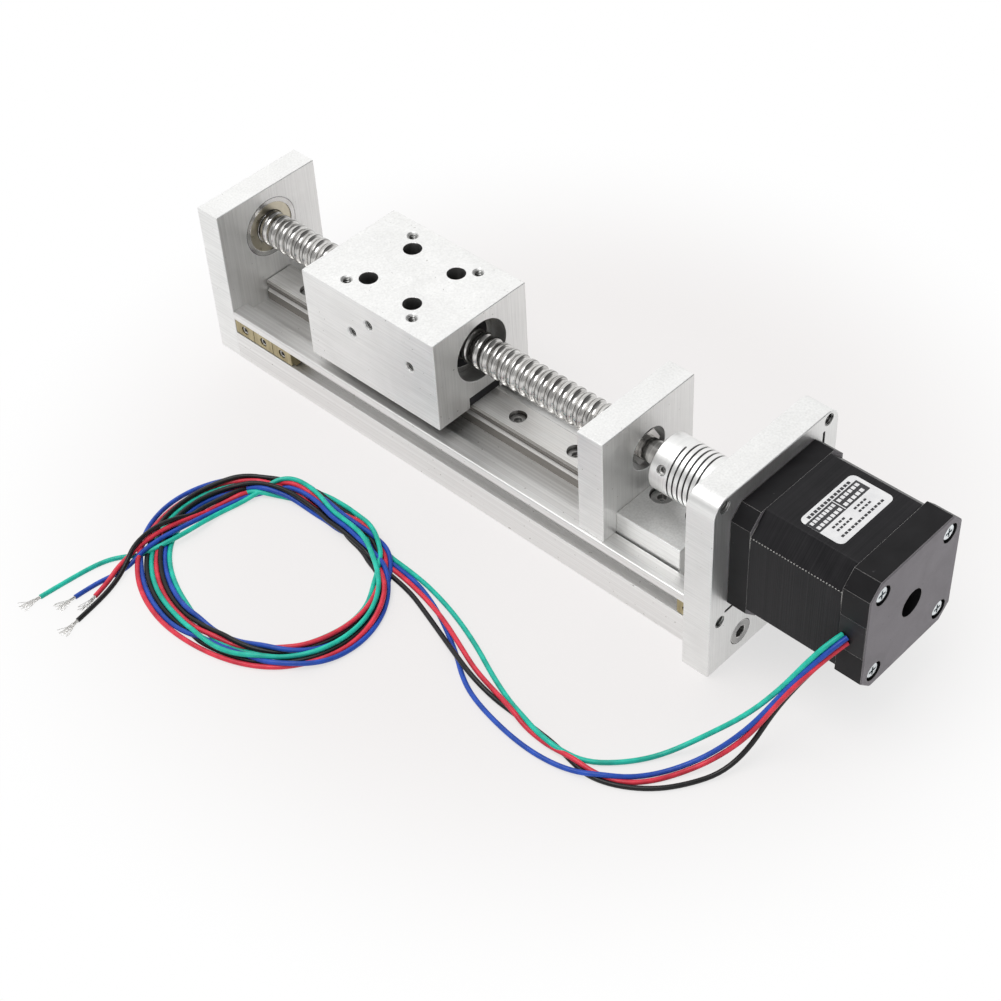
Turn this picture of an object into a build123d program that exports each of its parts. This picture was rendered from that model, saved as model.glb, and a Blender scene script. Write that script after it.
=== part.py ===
from build123d import *
import os
from math import radians, sqrt, tan

# A screw-driven linear slide stage with a square stepper motor, in millimetres.
# +X runs from the end plate to the motor, +Z is up, and Z = 0 is the surface that the stage stands on.
# The origin is halfway along the stage, on its middle line.

# Clearances: between pieces that move apart, between fitted pieces, round a screw's thread,
# and what a threaded hole is drilled deeper than its screw reaches
running_gap = 0.3
seat_play = 0.05
thread_play = 0.05
drill_reserve = 1.0

# Base extrusion, with a recess for the rail on top and a T-slot along each side
base_length = 208.0
base_width = 44.0
base_height = 20.0
base_edge_radius = 0.5
recess_width = 31.2
recess_depth = 3.5
slot_opening = 6.0
slot_height = 14.0
slot_depth = 4.5
slot_lip = 1.5
slot_channel = 8.4

# Plates
end_plate_thickness = 10.0
end_plate_height = 60.0
bearing_plate_thickness = 10.0
bearing_plate_width = 42.0
bearing_plate_top = 60.0
motor_plate_thickness = 10.0
motor_plate_width = 56.6
motor_plate_height = 70.8
motor_plate_corner = 5.5
plate_hole_spacing = 47.14
plate_hole_diameter = 4.2
edge_break = 0.2
plate_screw_length = 14.0
plate_screw_height = 24.0
plate_screw_spacing = 18.0

# Foot block behind the bearing plate
foot_length = 25.0
foot_width = 30.0
foot_top = 28.2
foot_screw_inset = 5.4
foot_counterbore = 7.9
foot_screw_sink = 1.2
foot_screw_length = 16.0

# Travel and carriage
travel = 100.0
carriage_rest = 40.5
carriage_length = 60.0
carriage_width = 42.0
carriage_height = 35.0
carriage_lift = 4.0
table_spacing = 30.0
table_hole_diameter = 3.3
table_hole_depth = 9.0
table_hole_chamfer = 0.45
access_diameter = 6.4
side_hole_diameter = 3.3
side_hole_wall = 1.2
side_hole_offsets = ((-8.2, 0.0), (0.2, 7.2), (18.2, 0.0))
carriage_screw_wall = 3.0
notch_width = 14.0
notch_height = 4.3

# Guide rail and its runner
rail_width = 12.0
rail_height = 8.0
rail_margin = 15.2
rail_pitch = 25.0
rail_screw_count = 6
rail_counterbore = 6.0
rail_counterbore_depth = 4.5
rail_screw_length = 7.0
rail_groove_depth = 0.9
rail_groove_height = 4.96
rail_groove_half = 1.4
rail_edge = 0.6
runner_width = 27.0
runner_height = 10.0
runner_steel_length = 32.4
runner_cap_length = 6.5
runner_lift = 3.0
runner_bolt_spacing = 20.0
runner_bolt_depth = 3.5
runner_edge = 1.0
runner_cap_inset = 0.4
wiper_thickness = 3.0

# Ball screw, its nut and its bearings
screw_height = 44.3
screw_diameter = 12.0
end_journal = 8.0
fixed_journal = 10.0
drive_journal = 8.0
nut_diameter = 22.3
nut_length = 40.0
nut_inset = 6.5
nut_bore = 12.6
nut_seal_diameter = 18.0
nut_seal_thickness = 2.0
end_bearing_diameter = 22.0
end_bearing_width = 7.0
end_bore_behind = 16.0
fixed_bearing_diameter = 19.0
fixed_bearing_width = 5.0
bearing_plate_hole = 15.0
lock_nut_flats = 11.0
lock_nut_thickness = 4.0
screw_end_inset = 1.4
shaft_gap = 2.0
end_outer_wall = 1.7
end_inner_wall = 1.9
fixed_ring_wall = 1.2
shield_thickness = 0.4
shield_inset = 0.3

# Helical shaft coupling
coupling_diameter = 19.0
coupling_length = 25.0
coupling_gap = 7.6
drive_hub_length = 6.8
slit_pitch = 1.95
slit_width = 0.6
slit_turns = 5.2
hub_screw_diameter = 3.4
hub_screw_angles = (62.8, 152.8)
hub_screw_margin = 0.8
hub_screw_sink = 1.0
hub_screw_key_depth = 1.5
relief_play = 0.6
slit_overcut = 0.5
coupling_edge = 0.4

# Motor
motor_size = 42.3
motor_length = 48.0
motor_front_cap = 7.3
motor_rear_cap = 9.2
motor_corner = 4.5
stator_corner_wall = 1.84
motor_screw_spacing = 31.0
motor_pilot = 22.0
motor_pilot_height = 2.0
motor_shaft = 5.0
motor_shaft_reach = 24.0
motor_bearing_diameter = 16.0
motor_bearing_width = 5.0
motor_ring_wall = 1.5
bearing_boss_wall = 1.5
front_bearing_stand = 0.5
rear_bearing_inset = 1.0
shaft_end_inset = 2.5
rotor_length = 30.0
yoke_diameter = 36.8
tooth_height = 5.2
tooth_root = 0.5
tooth_count = 8
tooth_width = 5.0
winding_width = 2.0
winding_height = 3.4
winding_overhang = 2.4
cavity_play = 0.4
overhang_room = 0.6
motor_edge = 0.4
motor_screw_depth = 4.0
motor_screw_bite = 4.0
rear_hole = 9.2
screw_recess = 6.5
screw_recess_depth = 2.2
case_head_diameter = 5.6
case_head_height = 1.8
case_head_round = 0.8
case_cross_length = 3.2
case_cross_width = 0.8
case_cross_depth = 1.1

# Lead outlet in the side of the rear cap: its depth is a share of the room outside the windings
outlet_length = 8.6
outlet_height = 12.8
outlet_share = 0.55

# Relief slots milled in the motor plate, whose ends show past the motor's corners:
# the middle of each across and above the screw's axis, and its turn
relief_slots = ((21.6, 16.0, 90), (-17.2, -20.9, 0))
relief_slot_length = 8.6
relief_slot_width = 1.1
relief_slot_depth = 1.0

# Nuts in the front slot
nut_pitch = 9.6
slot_nut_length = 9.3
last_nut_length = 7.3
slot_nut_count = 3
slot_nut_hole = 3.3

# Leads
lead_diameter = 1.6
bend_share = 0.45
tip_diameter = 0.9
tip_length = 5.5
coil_middle = (-41.0, -86.0)
coil_radius = 38.5
coil_band = 11.5
coil_thickness = 5.0
coil_round = 2.4

# Cap screws: thread, head, head height, key
m3_cap = (3.0, 5.5, 3.0, 2.5)
m4_cap = (4.0, 7.0, 4.0, 3.0)
m5_cap = (5.0, 8.5, 5.0, 4.0)
m5_counterbore = 9.0
m5_length = 18.0
key_depth_share = 0.55
port_spacing = 26.6
port_height = 8.0
port_diameter = 5.1

# Places along the stage
stage_length = end_plate_thickness + base_length + motor_plate_thickness + motor_length
stage_start = -stage_length / 2
base_start = stage_start + end_plate_thickness
guide_span = travel + carriage_length + 2 * running_gap
bearing_plate_start = base_start + guide_span
foot_start = bearing_plate_start + bearing_plate_thickness
motor_plate_start = base_start + base_length
motor_start = motor_plate_start + motor_plate_thickness
motor_end = motor_start + motor_length
stator_start = motor_start + motor_front_cap
stator_end = motor_end - motor_rear_cap
carriage_start = base_start + running_gap + carriage_rest
carriage_middle = carriage_start + carriage_length / 2
carriage_end = carriage_start + carriage_length
nut_end = carriage_end - nut_inset
rail_length = guide_span - 2 * running_gap
rail_start = base_start + running_gap
coupling_start = foot_start + coupling_gap
coupling_end = coupling_start + coupling_length
shaft_tip = motor_start - motor_shaft_reach

# The motor's sheet stack, whose cut corners leave a wall outside the case screws, and what is in it
case_hole = m3_cap[0] / 2 + seat_play
stator_corner = motor_size - motor_screw_spacing - sqrt(2) * (case_hole + stator_corner_wall)
rotor_diameter = yoke_diameter - 2 * tooth_height
cavity_diameter = yoke_diameter + 2 * cavity_play
cavity_depth = winding_overhang + overhang_room
winding_half = tooth_width / 2 + winding_width
winding_reach = ((yoke_diameter / 2 - running_gap) ** 2 - winding_half**2) ** 0.5
outlet_depth = outlet_share * (motor_size / 2 - winding_reach)

# Heights
recess_floor = base_height - recess_depth
rail_top = recess_floor + rail_height
runner_bottom = recess_floor + runner_lift
runner_top = runner_bottom + runner_height
carriage_bottom = base_height + carriage_lift
carriage_top = carriage_bottom + carriage_height

os.makedirs("parts", exist_ok=True)


def finish(piece, name):
    """Label a finished piece and write it."""
    piece.part.label = name
    export_step(piece.part, f"parts/{name}.step")


def facing_motor(x, y, z):
    """A place whose drilling direction is -X, on a face that looks towards the motor."""
    return Location((x, y, z), (0, 90, 0))


def facing_away(x, y, z):
    """A place whose drilling direction is +X, on a face that looks away from the motor."""
    return Location((x, y, z), (0, -90, 0))


def cap_screw(sizes, length):
    """A socket cap screw that points down, with the seat of its head at the origin."""
    thread, head, head_height, key = sizes
    with BuildPart() as screw:
        Cylinder(head / 2, head_height, align=(Align.CENTER, Align.CENTER, Align.MIN))
        Cylinder(thread / 2 - thread_play, length, align=(Align.CENTER, Align.CENTER, Align.MAX))
        with BuildSketch(Plane.XY.offset(head_height)):
            RegularPolygon(key / 2, 6, major_radius=False)
        extrude(amount=-key_depth_share * head_height, mode=Mode.SUBTRACT)
    return screw.part


def ring(start, length, outer, inner, name):
    """A ring about the screw's axis."""
    with BuildPart() as piece:
        with BuildSketch(Plane.YZ.offset(start)):
            with Locations((0, screw_height)):
                Circle(outer / 2)
                Circle(inner / 2, mode=Mode.SUBTRACT)
        extrude(amount=length)
    finish(piece, name)


# Base extrusion
rail_screw_places = [rail_start + rail_margin + rail_pitch * i for i in range(rail_screw_count)]
rail_screw_bite = rail_screw_length - (rail_height - rail_counterbore_depth)
foot_screw_places = [foot_start + foot_screw_inset, foot_start + foot_length - foot_screw_inset]
foot_screw_seat = foot_top - foot_screw_sink - m4_cap[2]
foot_screw_bite = foot_screw_length - (foot_screw_seat - recess_floor)
with BuildPart() as base_extrusion:
    with BuildSketch(Plane.YZ.offset(base_start)) as section:
        with Locations((0, base_height / 2)):
            Rectangle(base_width, base_height)
        fillet(section.vertices().group_by(Axis.Y)[-1], base_edge_radius)
        with Locations((0, base_height)):
            Rectangle(recess_width, 2 * recess_depth, mode=Mode.SUBTRACT)
        for side in (-1, 1):
            with Locations((side * base_width / 2, slot_height)):
                Rectangle(2 * slot_depth, slot_opening, mode=Mode.SUBTRACT)
            with Locations((side * (base_width - slot_lip - slot_depth) / 2, slot_height)):
                Rectangle(slot_depth - slot_lip, slot_channel, mode=Mode.SUBTRACT)
            with Locations((side * port_spacing / 2, port_height)):
                Circle(port_diameter / 2, mode=Mode.SUBTRACT)
    extrude(amount=base_length)
    with Locations(*[(x, 0, recess_floor) for x in rail_screw_places]):
        Hole(m3_cap[0] / 2, depth=rail_screw_bite + drill_reserve)
    with Locations(*[(x, 0, recess_floor) for x in foot_screw_places]):
        Hole(m4_cap[0] / 2, depth=foot_screw_bite + drill_reserve)
finish(base_extrusion, "base_extrusion")

# End plate, with the seat of the outboard bearing
with BuildPart() as end_plate:
    with Locations((stage_start + end_plate_thickness / 2, 0, end_plate_height / 2)):
        Box(end_plate_thickness, base_width, end_plate_height)
    chamfer(end_plate.edges(), edge_break)
    with Locations(facing_motor(base_start, 0, screw_height)):
        CounterBoreHole(end_bore_behind / 2, end_bearing_diameter / 2 + seat_play, end_bearing_width)
    with Locations(*[facing_away(stage_start, side * port_spacing / 2, port_height) for side in (-1, 1)]):
        CounterBoreHole(m5_cap[0] / 2 + seat_play, m5_counterbore / 2, m5_cap[2])
finish(end_plate, "end_plate")

# Bearing plate, which stands on the lips of the base and holds the fixed bearing
bearing_plate_height = bearing_plate_top - base_height
with BuildPart() as bearing_plate:
    with Locations((foot_start - bearing_plate_thickness / 2, 0, base_height + bearing_plate_height / 2)):
        Box(bearing_plate_thickness, bearing_plate_width, bearing_plate_height)
    chamfer(bearing_plate.edges(), edge_break)
    with Locations(facing_away(bearing_plate_start, 0, screw_height)):
        CounterBoreHole(bearing_plate_hole / 2, fixed_bearing_diameter / 2 + seat_play, fixed_bearing_width)
    with Locations(
        *[
            facing_away(bearing_plate_start, side * plate_screw_spacing / 2, plate_screw_height)
            for side in (-1, 1)
        ]
    ):
        CounterBoreHole(m4_cap[0] / 2 + seat_play, m4_cap[1] / 2 + running_gap, m4_cap[2])
finish(bearing_plate, "bearing_plate")

# Foot block, seated in the recess behind the bearing plate
with BuildPart() as foot_block:
    with Locations((foot_start + foot_length / 2, 0, (recess_floor + foot_top) / 2)):
        Box(foot_length, foot_width, foot_top - recess_floor)
    chamfer(foot_block.edges().filter_by(Axis.Z), edge_break)
    chamfer(foot_block.faces().sort_by(Axis.Z)[-1].edges(), edge_break)
    with Locations(
        *[facing_away(foot_start, side * plate_screw_spacing / 2, plate_screw_height) for side in (-1, 1)]
    ):
        Hole(m4_cap[0] / 2, depth=plate_screw_length - bearing_plate_thickness + m4_cap[2] + drill_reserve)
    with Locations(*[(x, 0, foot_top) for x in foot_screw_places]):
        CounterBoreHole(m4_cap[0] / 2 + seat_play, foot_counterbore / 2, foot_top - foot_screw_seat)
finish(foot_block, "foot_block")

# Motor plate, with the motor's screws let in from the coupling side
motor_screw_length = motor_plate_thickness - motor_screw_depth + motor_screw_bite
with BuildPart() as motor_plate:
    with BuildSketch(Plane.YZ.offset(motor_plate_start)) as outline:
        with Locations((0, motor_plate_height / 2)):
            Rectangle(motor_plate_width, motor_plate_height)
        fillet(outline.vertices().group_by(Axis.Y)[-1], motor_plate_corner)
    extrude(amount=motor_plate_thickness)
    chamfer(motor_plate.faces().sort_by(Axis.X)[-1].edges(), edge_break)
    chamfer(motor_plate.faces().sort_by(Axis.X)[0].edges(), edge_break)
    with Locations(facing_motor(motor_start, 0, screw_height)):
        Hole(motor_pilot / 2 + seat_play)
    with Locations(facing_motor(motor_start, 0, screw_height)):
        with GridLocations(plate_hole_spacing, plate_hole_spacing, 2, 2):
            Hole(plate_hole_diameter / 2)
    with Locations(facing_away(motor_plate_start, 0, screw_height)):
        with GridLocations(motor_screw_spacing, motor_screw_spacing, 2, 2):
            CounterBoreHole(m3_cap[0] / 2 + seat_play, m3_cap[1] / 2 + running_gap, motor_screw_depth)
    with Locations(*[facing_motor(motor_start, side * port_spacing / 2, port_height) for side in (-1, 1)]):
        CounterBoreHole(m5_cap[0] / 2 + seat_play, m5_counterbore / 2, m5_cap[2])
    with BuildSketch(Plane.YZ.offset(motor_start)):
        for across, above, turn in relief_slots:
            with Locations((across, screw_height + above)):
                SlotOverall(relief_slot_length, relief_slot_width, rotation=turn)
    extrude(amount=-relief_slot_depth, mode=Mode.SUBTRACT)
finish(motor_plate, "motor_plate")

# Screws that hold the plates, the foot block and the rail
screw_m3_rail = cap_screw(m3_cap, rail_screw_length)
screw_m4_plate = cap_screw(m4_cap, plate_screw_length)
screw_m4_foot = cap_screw(m4_cap, foot_screw_length)
screw_m5 = cap_screw(m5_cap, m5_length)
screw_m3_motor = cap_screw(m3_cap, motor_screw_length)

with BuildPart() as end_plate_screws:
    for side in (-1, 1):
        with Locations(facing_away(stage_start + m5_cap[2], side * port_spacing / 2, port_height)):
            add(screw_m5)
finish(end_plate_screws, "end_plate_screws")

with BuildPart() as motor_plate_screws:
    for side in (-1, 1):
        with Locations(facing_motor(motor_start - m5_cap[2], side * port_spacing / 2, port_height)):
            add(screw_m5)
finish(motor_plate_screws, "motor_plate_screws")

with BuildPart() as bearing_plate_screws:
    for side in (-1, 1):
        with Locations(
            facing_away(bearing_plate_start + m4_cap[2], side * plate_screw_spacing / 2, plate_screw_height)
        ):
            add(screw_m4_plate)
finish(bearing_plate_screws, "bearing_plate_screws")

with BuildPart() as foot_screws:
    with Locations(*[(x, 0, foot_screw_seat) for x in foot_screw_places]):
        add(screw_m4_foot)
finish(foot_screws, "foot_screws")

with BuildPart() as motor_mount_screws:
    with Locations(facing_away(motor_plate_start + motor_screw_depth, 0, screw_height)):
        with GridLocations(motor_screw_spacing, motor_screw_spacing, 2, 2):
            add(screw_m3_motor)
finish(motor_mount_screws, "motor_mount_screws")

# Guide rail, with a ball groove down each side
groove_middle = recess_floor + rail_groove_height
rail_side = [
    (rail_width / 2, recess_floor),
    (rail_width / 2, groove_middle - rail_groove_half),
    (rail_width / 2 - rail_groove_depth, groove_middle - rail_groove_half / 2),
    (rail_width / 2 - rail_groove_depth, groove_middle + rail_groove_half / 2),
    (rail_width / 2, groove_middle + rail_groove_half),
    (rail_width / 2, rail_top - rail_edge),
    (rail_width / 2 - rail_edge, rail_top),
]
with BuildPart() as guide_rail:
    with BuildSketch(Plane.YZ.offset(rail_start)):
        with BuildLine():
            Polyline(*rail_side, *[(-y, z) for y, z in reversed(rail_side)], close=True)
        make_face()
    extrude(amount=rail_length)
    with Locations(*[(x, 0, rail_top) for x in rail_screw_places]):
        CounterBoreHole(m3_cap[0] / 2 + seat_play, rail_counterbore / 2, rail_counterbore_depth)
finish(guide_rail, "guide_rail")

with BuildPart() as rail_screws:
    with Locations(*[(x, 0, rail_top - rail_counterbore_depth) for x in rail_screw_places]):
        add(screw_m3_rail)
finish(rail_screws, "rail_screws")


def saddle(width, bottom, top):
    """The outline of the runner, which straddles the rail."""
    return [
        (-width / 2, bottom),
        (-saddle_half, bottom),
        (-saddle_half, saddle_top),
        (saddle_half, saddle_top),
        (saddle_half, bottom),
        (width / 2, bottom),
        (width / 2, top - runner_edge),
        (width / 2 - runner_edge, top),
        (runner_edge - width / 2, top),
        (-width / 2, top - runner_edge),
    ]


# Runner, its end caps and the screws that hold the carriage on it
runner_start = carriage_middle - runner_steel_length / 2
runner_end = carriage_middle + runner_steel_length / 2
saddle_half = rail_width / 2 + running_gap
saddle_top = rail_top + running_gap
with BuildPart() as runner_block:
    with BuildSketch(Plane.YZ.offset(runner_start)):
        with BuildLine():
            Polyline(*saddle(runner_width, runner_bottom, runner_top), close=True)
        make_face()
    extrude(amount=runner_steel_length)
    with Locations((carriage_middle, 0, runner_top)):
        with GridLocations(runner_bolt_spacing, runner_bolt_spacing, 2, 2):
            Hole(m3_cap[0] / 2, depth=runner_bolt_depth)
finish(runner_block, "runner_block")

with BuildPart() as runner_end_caps:
    for start in (runner_start - runner_cap_length, runner_end):
        with BuildSketch(Plane.YZ.offset(start)):
            with BuildLine():
                Polyline(
                    *saddle(
                        runner_width - 2 * runner_cap_inset,
                        runner_bottom + runner_cap_inset,
                        runner_top - runner_cap_inset,
                    ),
                    close=True,
                )
            make_face()
        extrude(amount=runner_cap_length)
finish(runner_end_caps, "runner_end_caps")

# Carriage block, a solid block bored for the nut and pocketed for the runner
pocket_length = runner_steel_length + 2 * runner_cap_length + 2 * running_gap
pocket_width = runner_width + 2 * running_gap
carriage_screw_seat = runner_top + carriage_screw_wall
side_hole_places = [(carriage_middle + along, screw_height + above) for along, above in side_hole_offsets]
side_hole_depth = (carriage_width - nut_diameter) / 2 - side_hole_wall
with BuildPart() as carriage_block:
    with Locations((carriage_middle, 0, (carriage_bottom + carriage_top) / 2)):
        Box(carriage_length, carriage_width, carriage_height)
    chamfer(carriage_block.edges(), edge_break)
    with Locations(facing_motor(carriage_end, 0, screw_height)):
        Hole(nut_diameter / 2 + seat_play)
    with Locations((carriage_middle, 0, carriage_bottom)):
        Box(pocket_length, pocket_width, 2 * (runner_top - carriage_bottom), mode=Mode.SUBTRACT)
        Box(2 * carriage_length, notch_width, 2 * notch_height, mode=Mode.SUBTRACT)
    with Locations((carriage_middle, 0, carriage_top)):
        with GridLocations(runner_bolt_spacing, runner_bolt_spacing, 2, 2):
            CounterBoreHole(
                m3_cap[0] / 2 + seat_play,
                access_diameter / 2,
                carriage_top - carriage_screw_seat,
                depth=carriage_height,
            )
        with GridLocations(table_spacing, table_spacing, 2, 2):
            CounterSinkHole(
                table_hole_diameter / 2,
                table_hole_diameter / 2 + table_hole_chamfer,
                depth=table_hole_depth,
                counter_sink_angle=90,
            )
    with Locations(*[Location((x, -carriage_width / 2, z), (90, 0, 0)) for x, z in side_hole_places]):
        CounterSinkHole(
            side_hole_diameter / 2,
            side_hole_diameter / 2 + table_hole_chamfer,
            depth=side_hole_depth,
            counter_sink_angle=90,
        )
finish(carriage_block, "carriage_block")

screw_m3_carriage = cap_screw(m3_cap, carriage_screw_wall + runner_bolt_depth - drill_reserve / 2)
with BuildPart() as carriage_screws:
    with Locations((carriage_middle, 0, carriage_screw_seat)):
        with GridLocations(runner_bolt_spacing, runner_bolt_spacing, 2, 2):
            add(screw_m3_carriage)
finish(carriage_screws, "carriage_screws")

# Wiper plates in the notches over the rail
wiper_bottom = rail_top + running_gap
wiper_top = carriage_bottom + notch_height - seat_play
with BuildPart() as rail_wipers:
    for x in (carriage_start + edge_break, carriage_end - edge_break - wiper_thickness):
        with BuildSketch(Plane.YZ.offset(x)):
            with Locations((0, (wiper_bottom + wiper_top) / 2)):
                Rectangle(notch_width - 2 * seat_play, wiper_top - wiper_bottom)
        extrude(amount=wiper_thickness)
finish(rail_wipers, "rail_wipers")

# Ball nut, with a seal ring in each end
with BuildPart() as ball_nut:
    with BuildSketch(Plane.YZ.offset(nut_end - nut_length)):
        with Locations((0, screw_height)):
            Circle(nut_diameter / 2)
            Circle(nut_bore / 2, mode=Mode.SUBTRACT)
    extrude(amount=nut_length)
    for start, depth in ((nut_end, -nut_seal_thickness), (nut_end - nut_length, nut_seal_thickness)):
        with BuildSketch(Plane.YZ.offset(start)):
            with Locations((0, screw_height)):
                Circle(nut_seal_diameter / 2 + seat_play)
        extrude(amount=depth, mode=Mode.SUBTRACT)
finish(ball_nut, "ball_nut")

with BuildPart() as nut_seals:
    for start in (nut_end - nut_seal_thickness, nut_end - nut_length):
        with BuildSketch(Plane.YZ.offset(start)):
            with Locations((0, screw_height)):
                Circle(nut_seal_diameter / 2)
                Circle(screw_diameter / 2 + running_gap, mode=Mode.SUBTRACT)
        extrude(amount=nut_seal_thickness)
finish(nut_seals, "nut_seals")

# Ball screw, turned down at both ends
fixed_journal_end = bearing_plate_start + fixed_bearing_width + seat_play
screw_steps = [
    (stage_start + screw_end_inset, end_journal / 2 - seat_play),
    (base_start + running_gap, screw_diameter / 2),
    (bearing_plate_start - seat_play, fixed_journal / 2 - seat_play),
    (fixed_journal_end, drive_journal / 2 - seat_play),
    (coupling_start + (coupling_length - shaft_gap) / 2, 0),
]
with BuildPart() as ball_screw:
    with BuildSketch(Plane.XZ):
        with BuildLine():
            outline_points = [(screw_steps[0][0], screw_height)]
            for (start, radius), (end, _) in zip(screw_steps, screw_steps[1:]):
                outline_points.append((start, screw_height + radius))
                outline_points.append((end, screw_height + radius))
            outline_points.append((screw_steps[-1][0], screw_height))
            Polyline(*outline_points, close=True)
        make_face()
    revolve(axis=Axis((0, 0, screw_height), (1, 0, 0)))
finish(ball_screw, "ball_screw")

# Outboard bearing, in the end plate
end_bearing_start = base_start - end_bearing_width
end_race = end_bearing_diameter - 2 * end_outer_wall
end_inner = end_journal + 2 * end_inner_wall
ring(end_bearing_start, end_bearing_width, end_bearing_diameter, end_race, "end_bearing_outer")
ring(end_bearing_start, end_bearing_width, end_inner, end_journal, "end_bearing_inner")
with BuildPart() as end_bearing_shields:
    for start in (
        base_start - shield_inset - shield_thickness,
        end_bearing_start + shield_inset,
    ):
        with BuildSketch(Plane.YZ.offset(start)):
            with Locations((0, screw_height)):
                Circle(end_race / 2)
                Circle(end_inner / 2 + running_gap, mode=Mode.SUBTRACT)
        extrude(amount=shield_thickness)
finish(end_bearing_shields, "end_bearing_shields")

# Fixed bearing, in the bearing plate, and the nut that clamps it
fixed_race = fixed_bearing_diameter - 2 * fixed_ring_wall
fixed_inner = fixed_journal + 2 * fixed_ring_wall
ring(bearing_plate_start, fixed_bearing_width, fixed_bearing_diameter, fixed_race, "fixed_bearing_outer")
ring(bearing_plate_start, fixed_bearing_width, fixed_inner, fixed_journal, "fixed_bearing_inner")
with BuildPart() as lock_nut:
    with BuildSketch(Plane.YZ.offset(fixed_journal_end)):
        with Locations((0, screw_height)):
            RegularPolygon(lock_nut_flats / 2, 6, major_radius=False)
            Circle(drive_journal / 2, mode=Mode.SUBTRACT)
    extrude(amount=lock_nut_thickness)
finish(lock_nut, "lock_nut")

# Shaft coupling: one tube whose middle is opened into a spring by a helical slit
slit_length = slit_pitch * slit_turns
slit_begin = coupling_start + drive_hub_length
slit_finish = slit_begin + slit_length
hub_screw_inset = hub_screw_diameter / 2 + hub_screw_margin
hub_places = (slit_begin - hub_screw_inset, slit_finish + hub_screw_inset)
relief_bore = drive_journal + relief_play
with BuildPart() as coupling:
    with BuildSketch(Plane.YZ.offset(coupling_start)):
        with Locations((0, screw_height)):
            Circle(coupling_diameter / 2)
    extrude(amount=coupling_length)
    chamfer(coupling.edges(), coupling_edge)
    with Locations(facing_away(coupling_start, 0, screw_height)):
        Hole(drive_journal / 2, depth=coupling_length / 2)
    with Locations(facing_motor(coupling_end, 0, screw_height)):
        Hole(motor_shaft / 2, depth=coupling_length)
    with Locations(facing_away(slit_begin, 0, screw_height)):
        Hole(relief_bore / 2, depth=slit_length)
    with BuildLine() as slit:
        Helix(
            pitch=slit_pitch,
            height=slit_length,
            radius=coupling_diameter / 2,
            center=(slit_begin, 0, screw_height),
            direction=(1, 0, 0),
        )
    slit_start = slit.line @ 0
    outward = slit_start - Vector(slit_begin, 0, screw_height)
    with BuildSketch(Plane(origin=slit_start, x_dir=outward, z_dir=slit.line % 0)):
        Rectangle(coupling_diameter - relief_bore + 2 * slit_overcut, slit_width)
    sweep(is_frenet=True, mode=Mode.SUBTRACT)
    for x in hub_places:
        for angle in hub_screw_angles:
            with Locations(Location((x, 0, screw_height), (angle, 0, 0))):
                Cylinder(
                    hub_screw_diameter / 2,
                    coupling_diameter,
                    align=(Align.CENTER, Align.CENTER, Align.MIN),
                    mode=Mode.SUBTRACT,
                )
finish(coupling, "coupling")

# Set screws sunk in the coupling's hubs, which press on the two shafts
screw_reach = coupling_diameter / 2 - hub_screw_sink
with BuildPart() as coupling_set_screws:
    for x, shaft in zip(hub_places, (drive_journal, motor_shaft)):
        for angle in hub_screw_angles:
            with BuildSketch(Plane(Location((x, 0, screw_height), (angle, 0, 0))).offset(shaft / 2)):
                Circle(hub_screw_diameter / 2 - thread_play)
            extrude(amount=screw_reach - shaft / 2)
            with BuildSketch(Plane(Location((x, 0, screw_height), (angle, 0, 0))).offset(screw_reach)):
                RegularPolygon(hub_screw_diameter / 4, 6, major_radius=False)
            extrude(amount=-hub_screw_key_depth, mode=Mode.SUBTRACT)
finish(coupling_set_screws, "coupling_set_screws")

# Motor shaft and rotor
rotor_start = (stator_start + stator_end - rotor_length) / 2
shaft_end = motor_end - shaft_end_inset
with BuildPart() as motor_shaft_rod:
    with BuildSketch(Plane.YZ.offset(shaft_tip)):
        with Locations((0, screw_height)):
            Circle(motor_shaft / 2 - seat_play)
    extrude(amount=shaft_end - shaft_tip)
finish(motor_shaft_rod, "motor_shaft")
ring(rotor_start, rotor_length, rotor_diameter, motor_shaft, "rotor")

# Motor bearings
front_bearing_start = motor_start - front_bearing_stand
rear_bearing_start = stator_end + rear_bearing_inset
for place, start in (("front", front_bearing_start), ("rear", rear_bearing_start)):
    ring(
        start,
        motor_bearing_width,
        motor_bearing_diameter,
        motor_bearing_diameter - 2 * motor_ring_wall,
        f"motor_{place}_bearing_outer",
    )
    ring(
        start,
        motor_bearing_width,
        motor_shaft + 2 * motor_ring_wall,
        motor_shaft,
        f"motor_{place}_bearing_inner",
    )

# Motor front cap, with its pilot and its bearing seat
cap_screw_hole = m3_cap[0] / 2
with BuildPart() as motor_front_cap_part:
    with BuildSketch(Plane.YZ.offset(motor_start)) as square:
        with Locations((0, screw_height)):
            Rectangle(motor_size, motor_size)
        chamfer(square.vertices(), motor_corner)
    extrude(amount=motor_front_cap)
    chamfer(motor_front_cap_part.faces().sort_by(Axis.X)[0].edges(), motor_edge)
    with BuildSketch(Plane.YZ.offset(motor_start)):
        with Locations((0, screw_height)):
            Circle(motor_pilot / 2)
    extrude(amount=-motor_pilot_height)
    with Locations(facing_motor(stator_start, 0, screw_height)):
        CounterBoreHole(
            motor_shaft / 2 + motor_ring_wall,
            motor_bearing_diameter / 2 + seat_play,
            stator_start - front_bearing_start,
        )
    with BuildSketch(Plane.YZ.offset(stator_start - cavity_depth)):
        with Locations((0, screw_height)):
            Circle(cavity_diameter / 2)
            Circle(motor_bearing_diameter / 2 + bearing_boss_wall, mode=Mode.SUBTRACT)
    extrude(amount=cavity_depth, mode=Mode.SUBTRACT)
    with Locations(facing_motor(stator_start, 0, screw_height)):
        with GridLocations(motor_screw_spacing, motor_screw_spacing, 2, 2):
            Hole(cap_screw_hole)
finish(motor_front_cap_part, "motor_front_cap")

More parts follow.
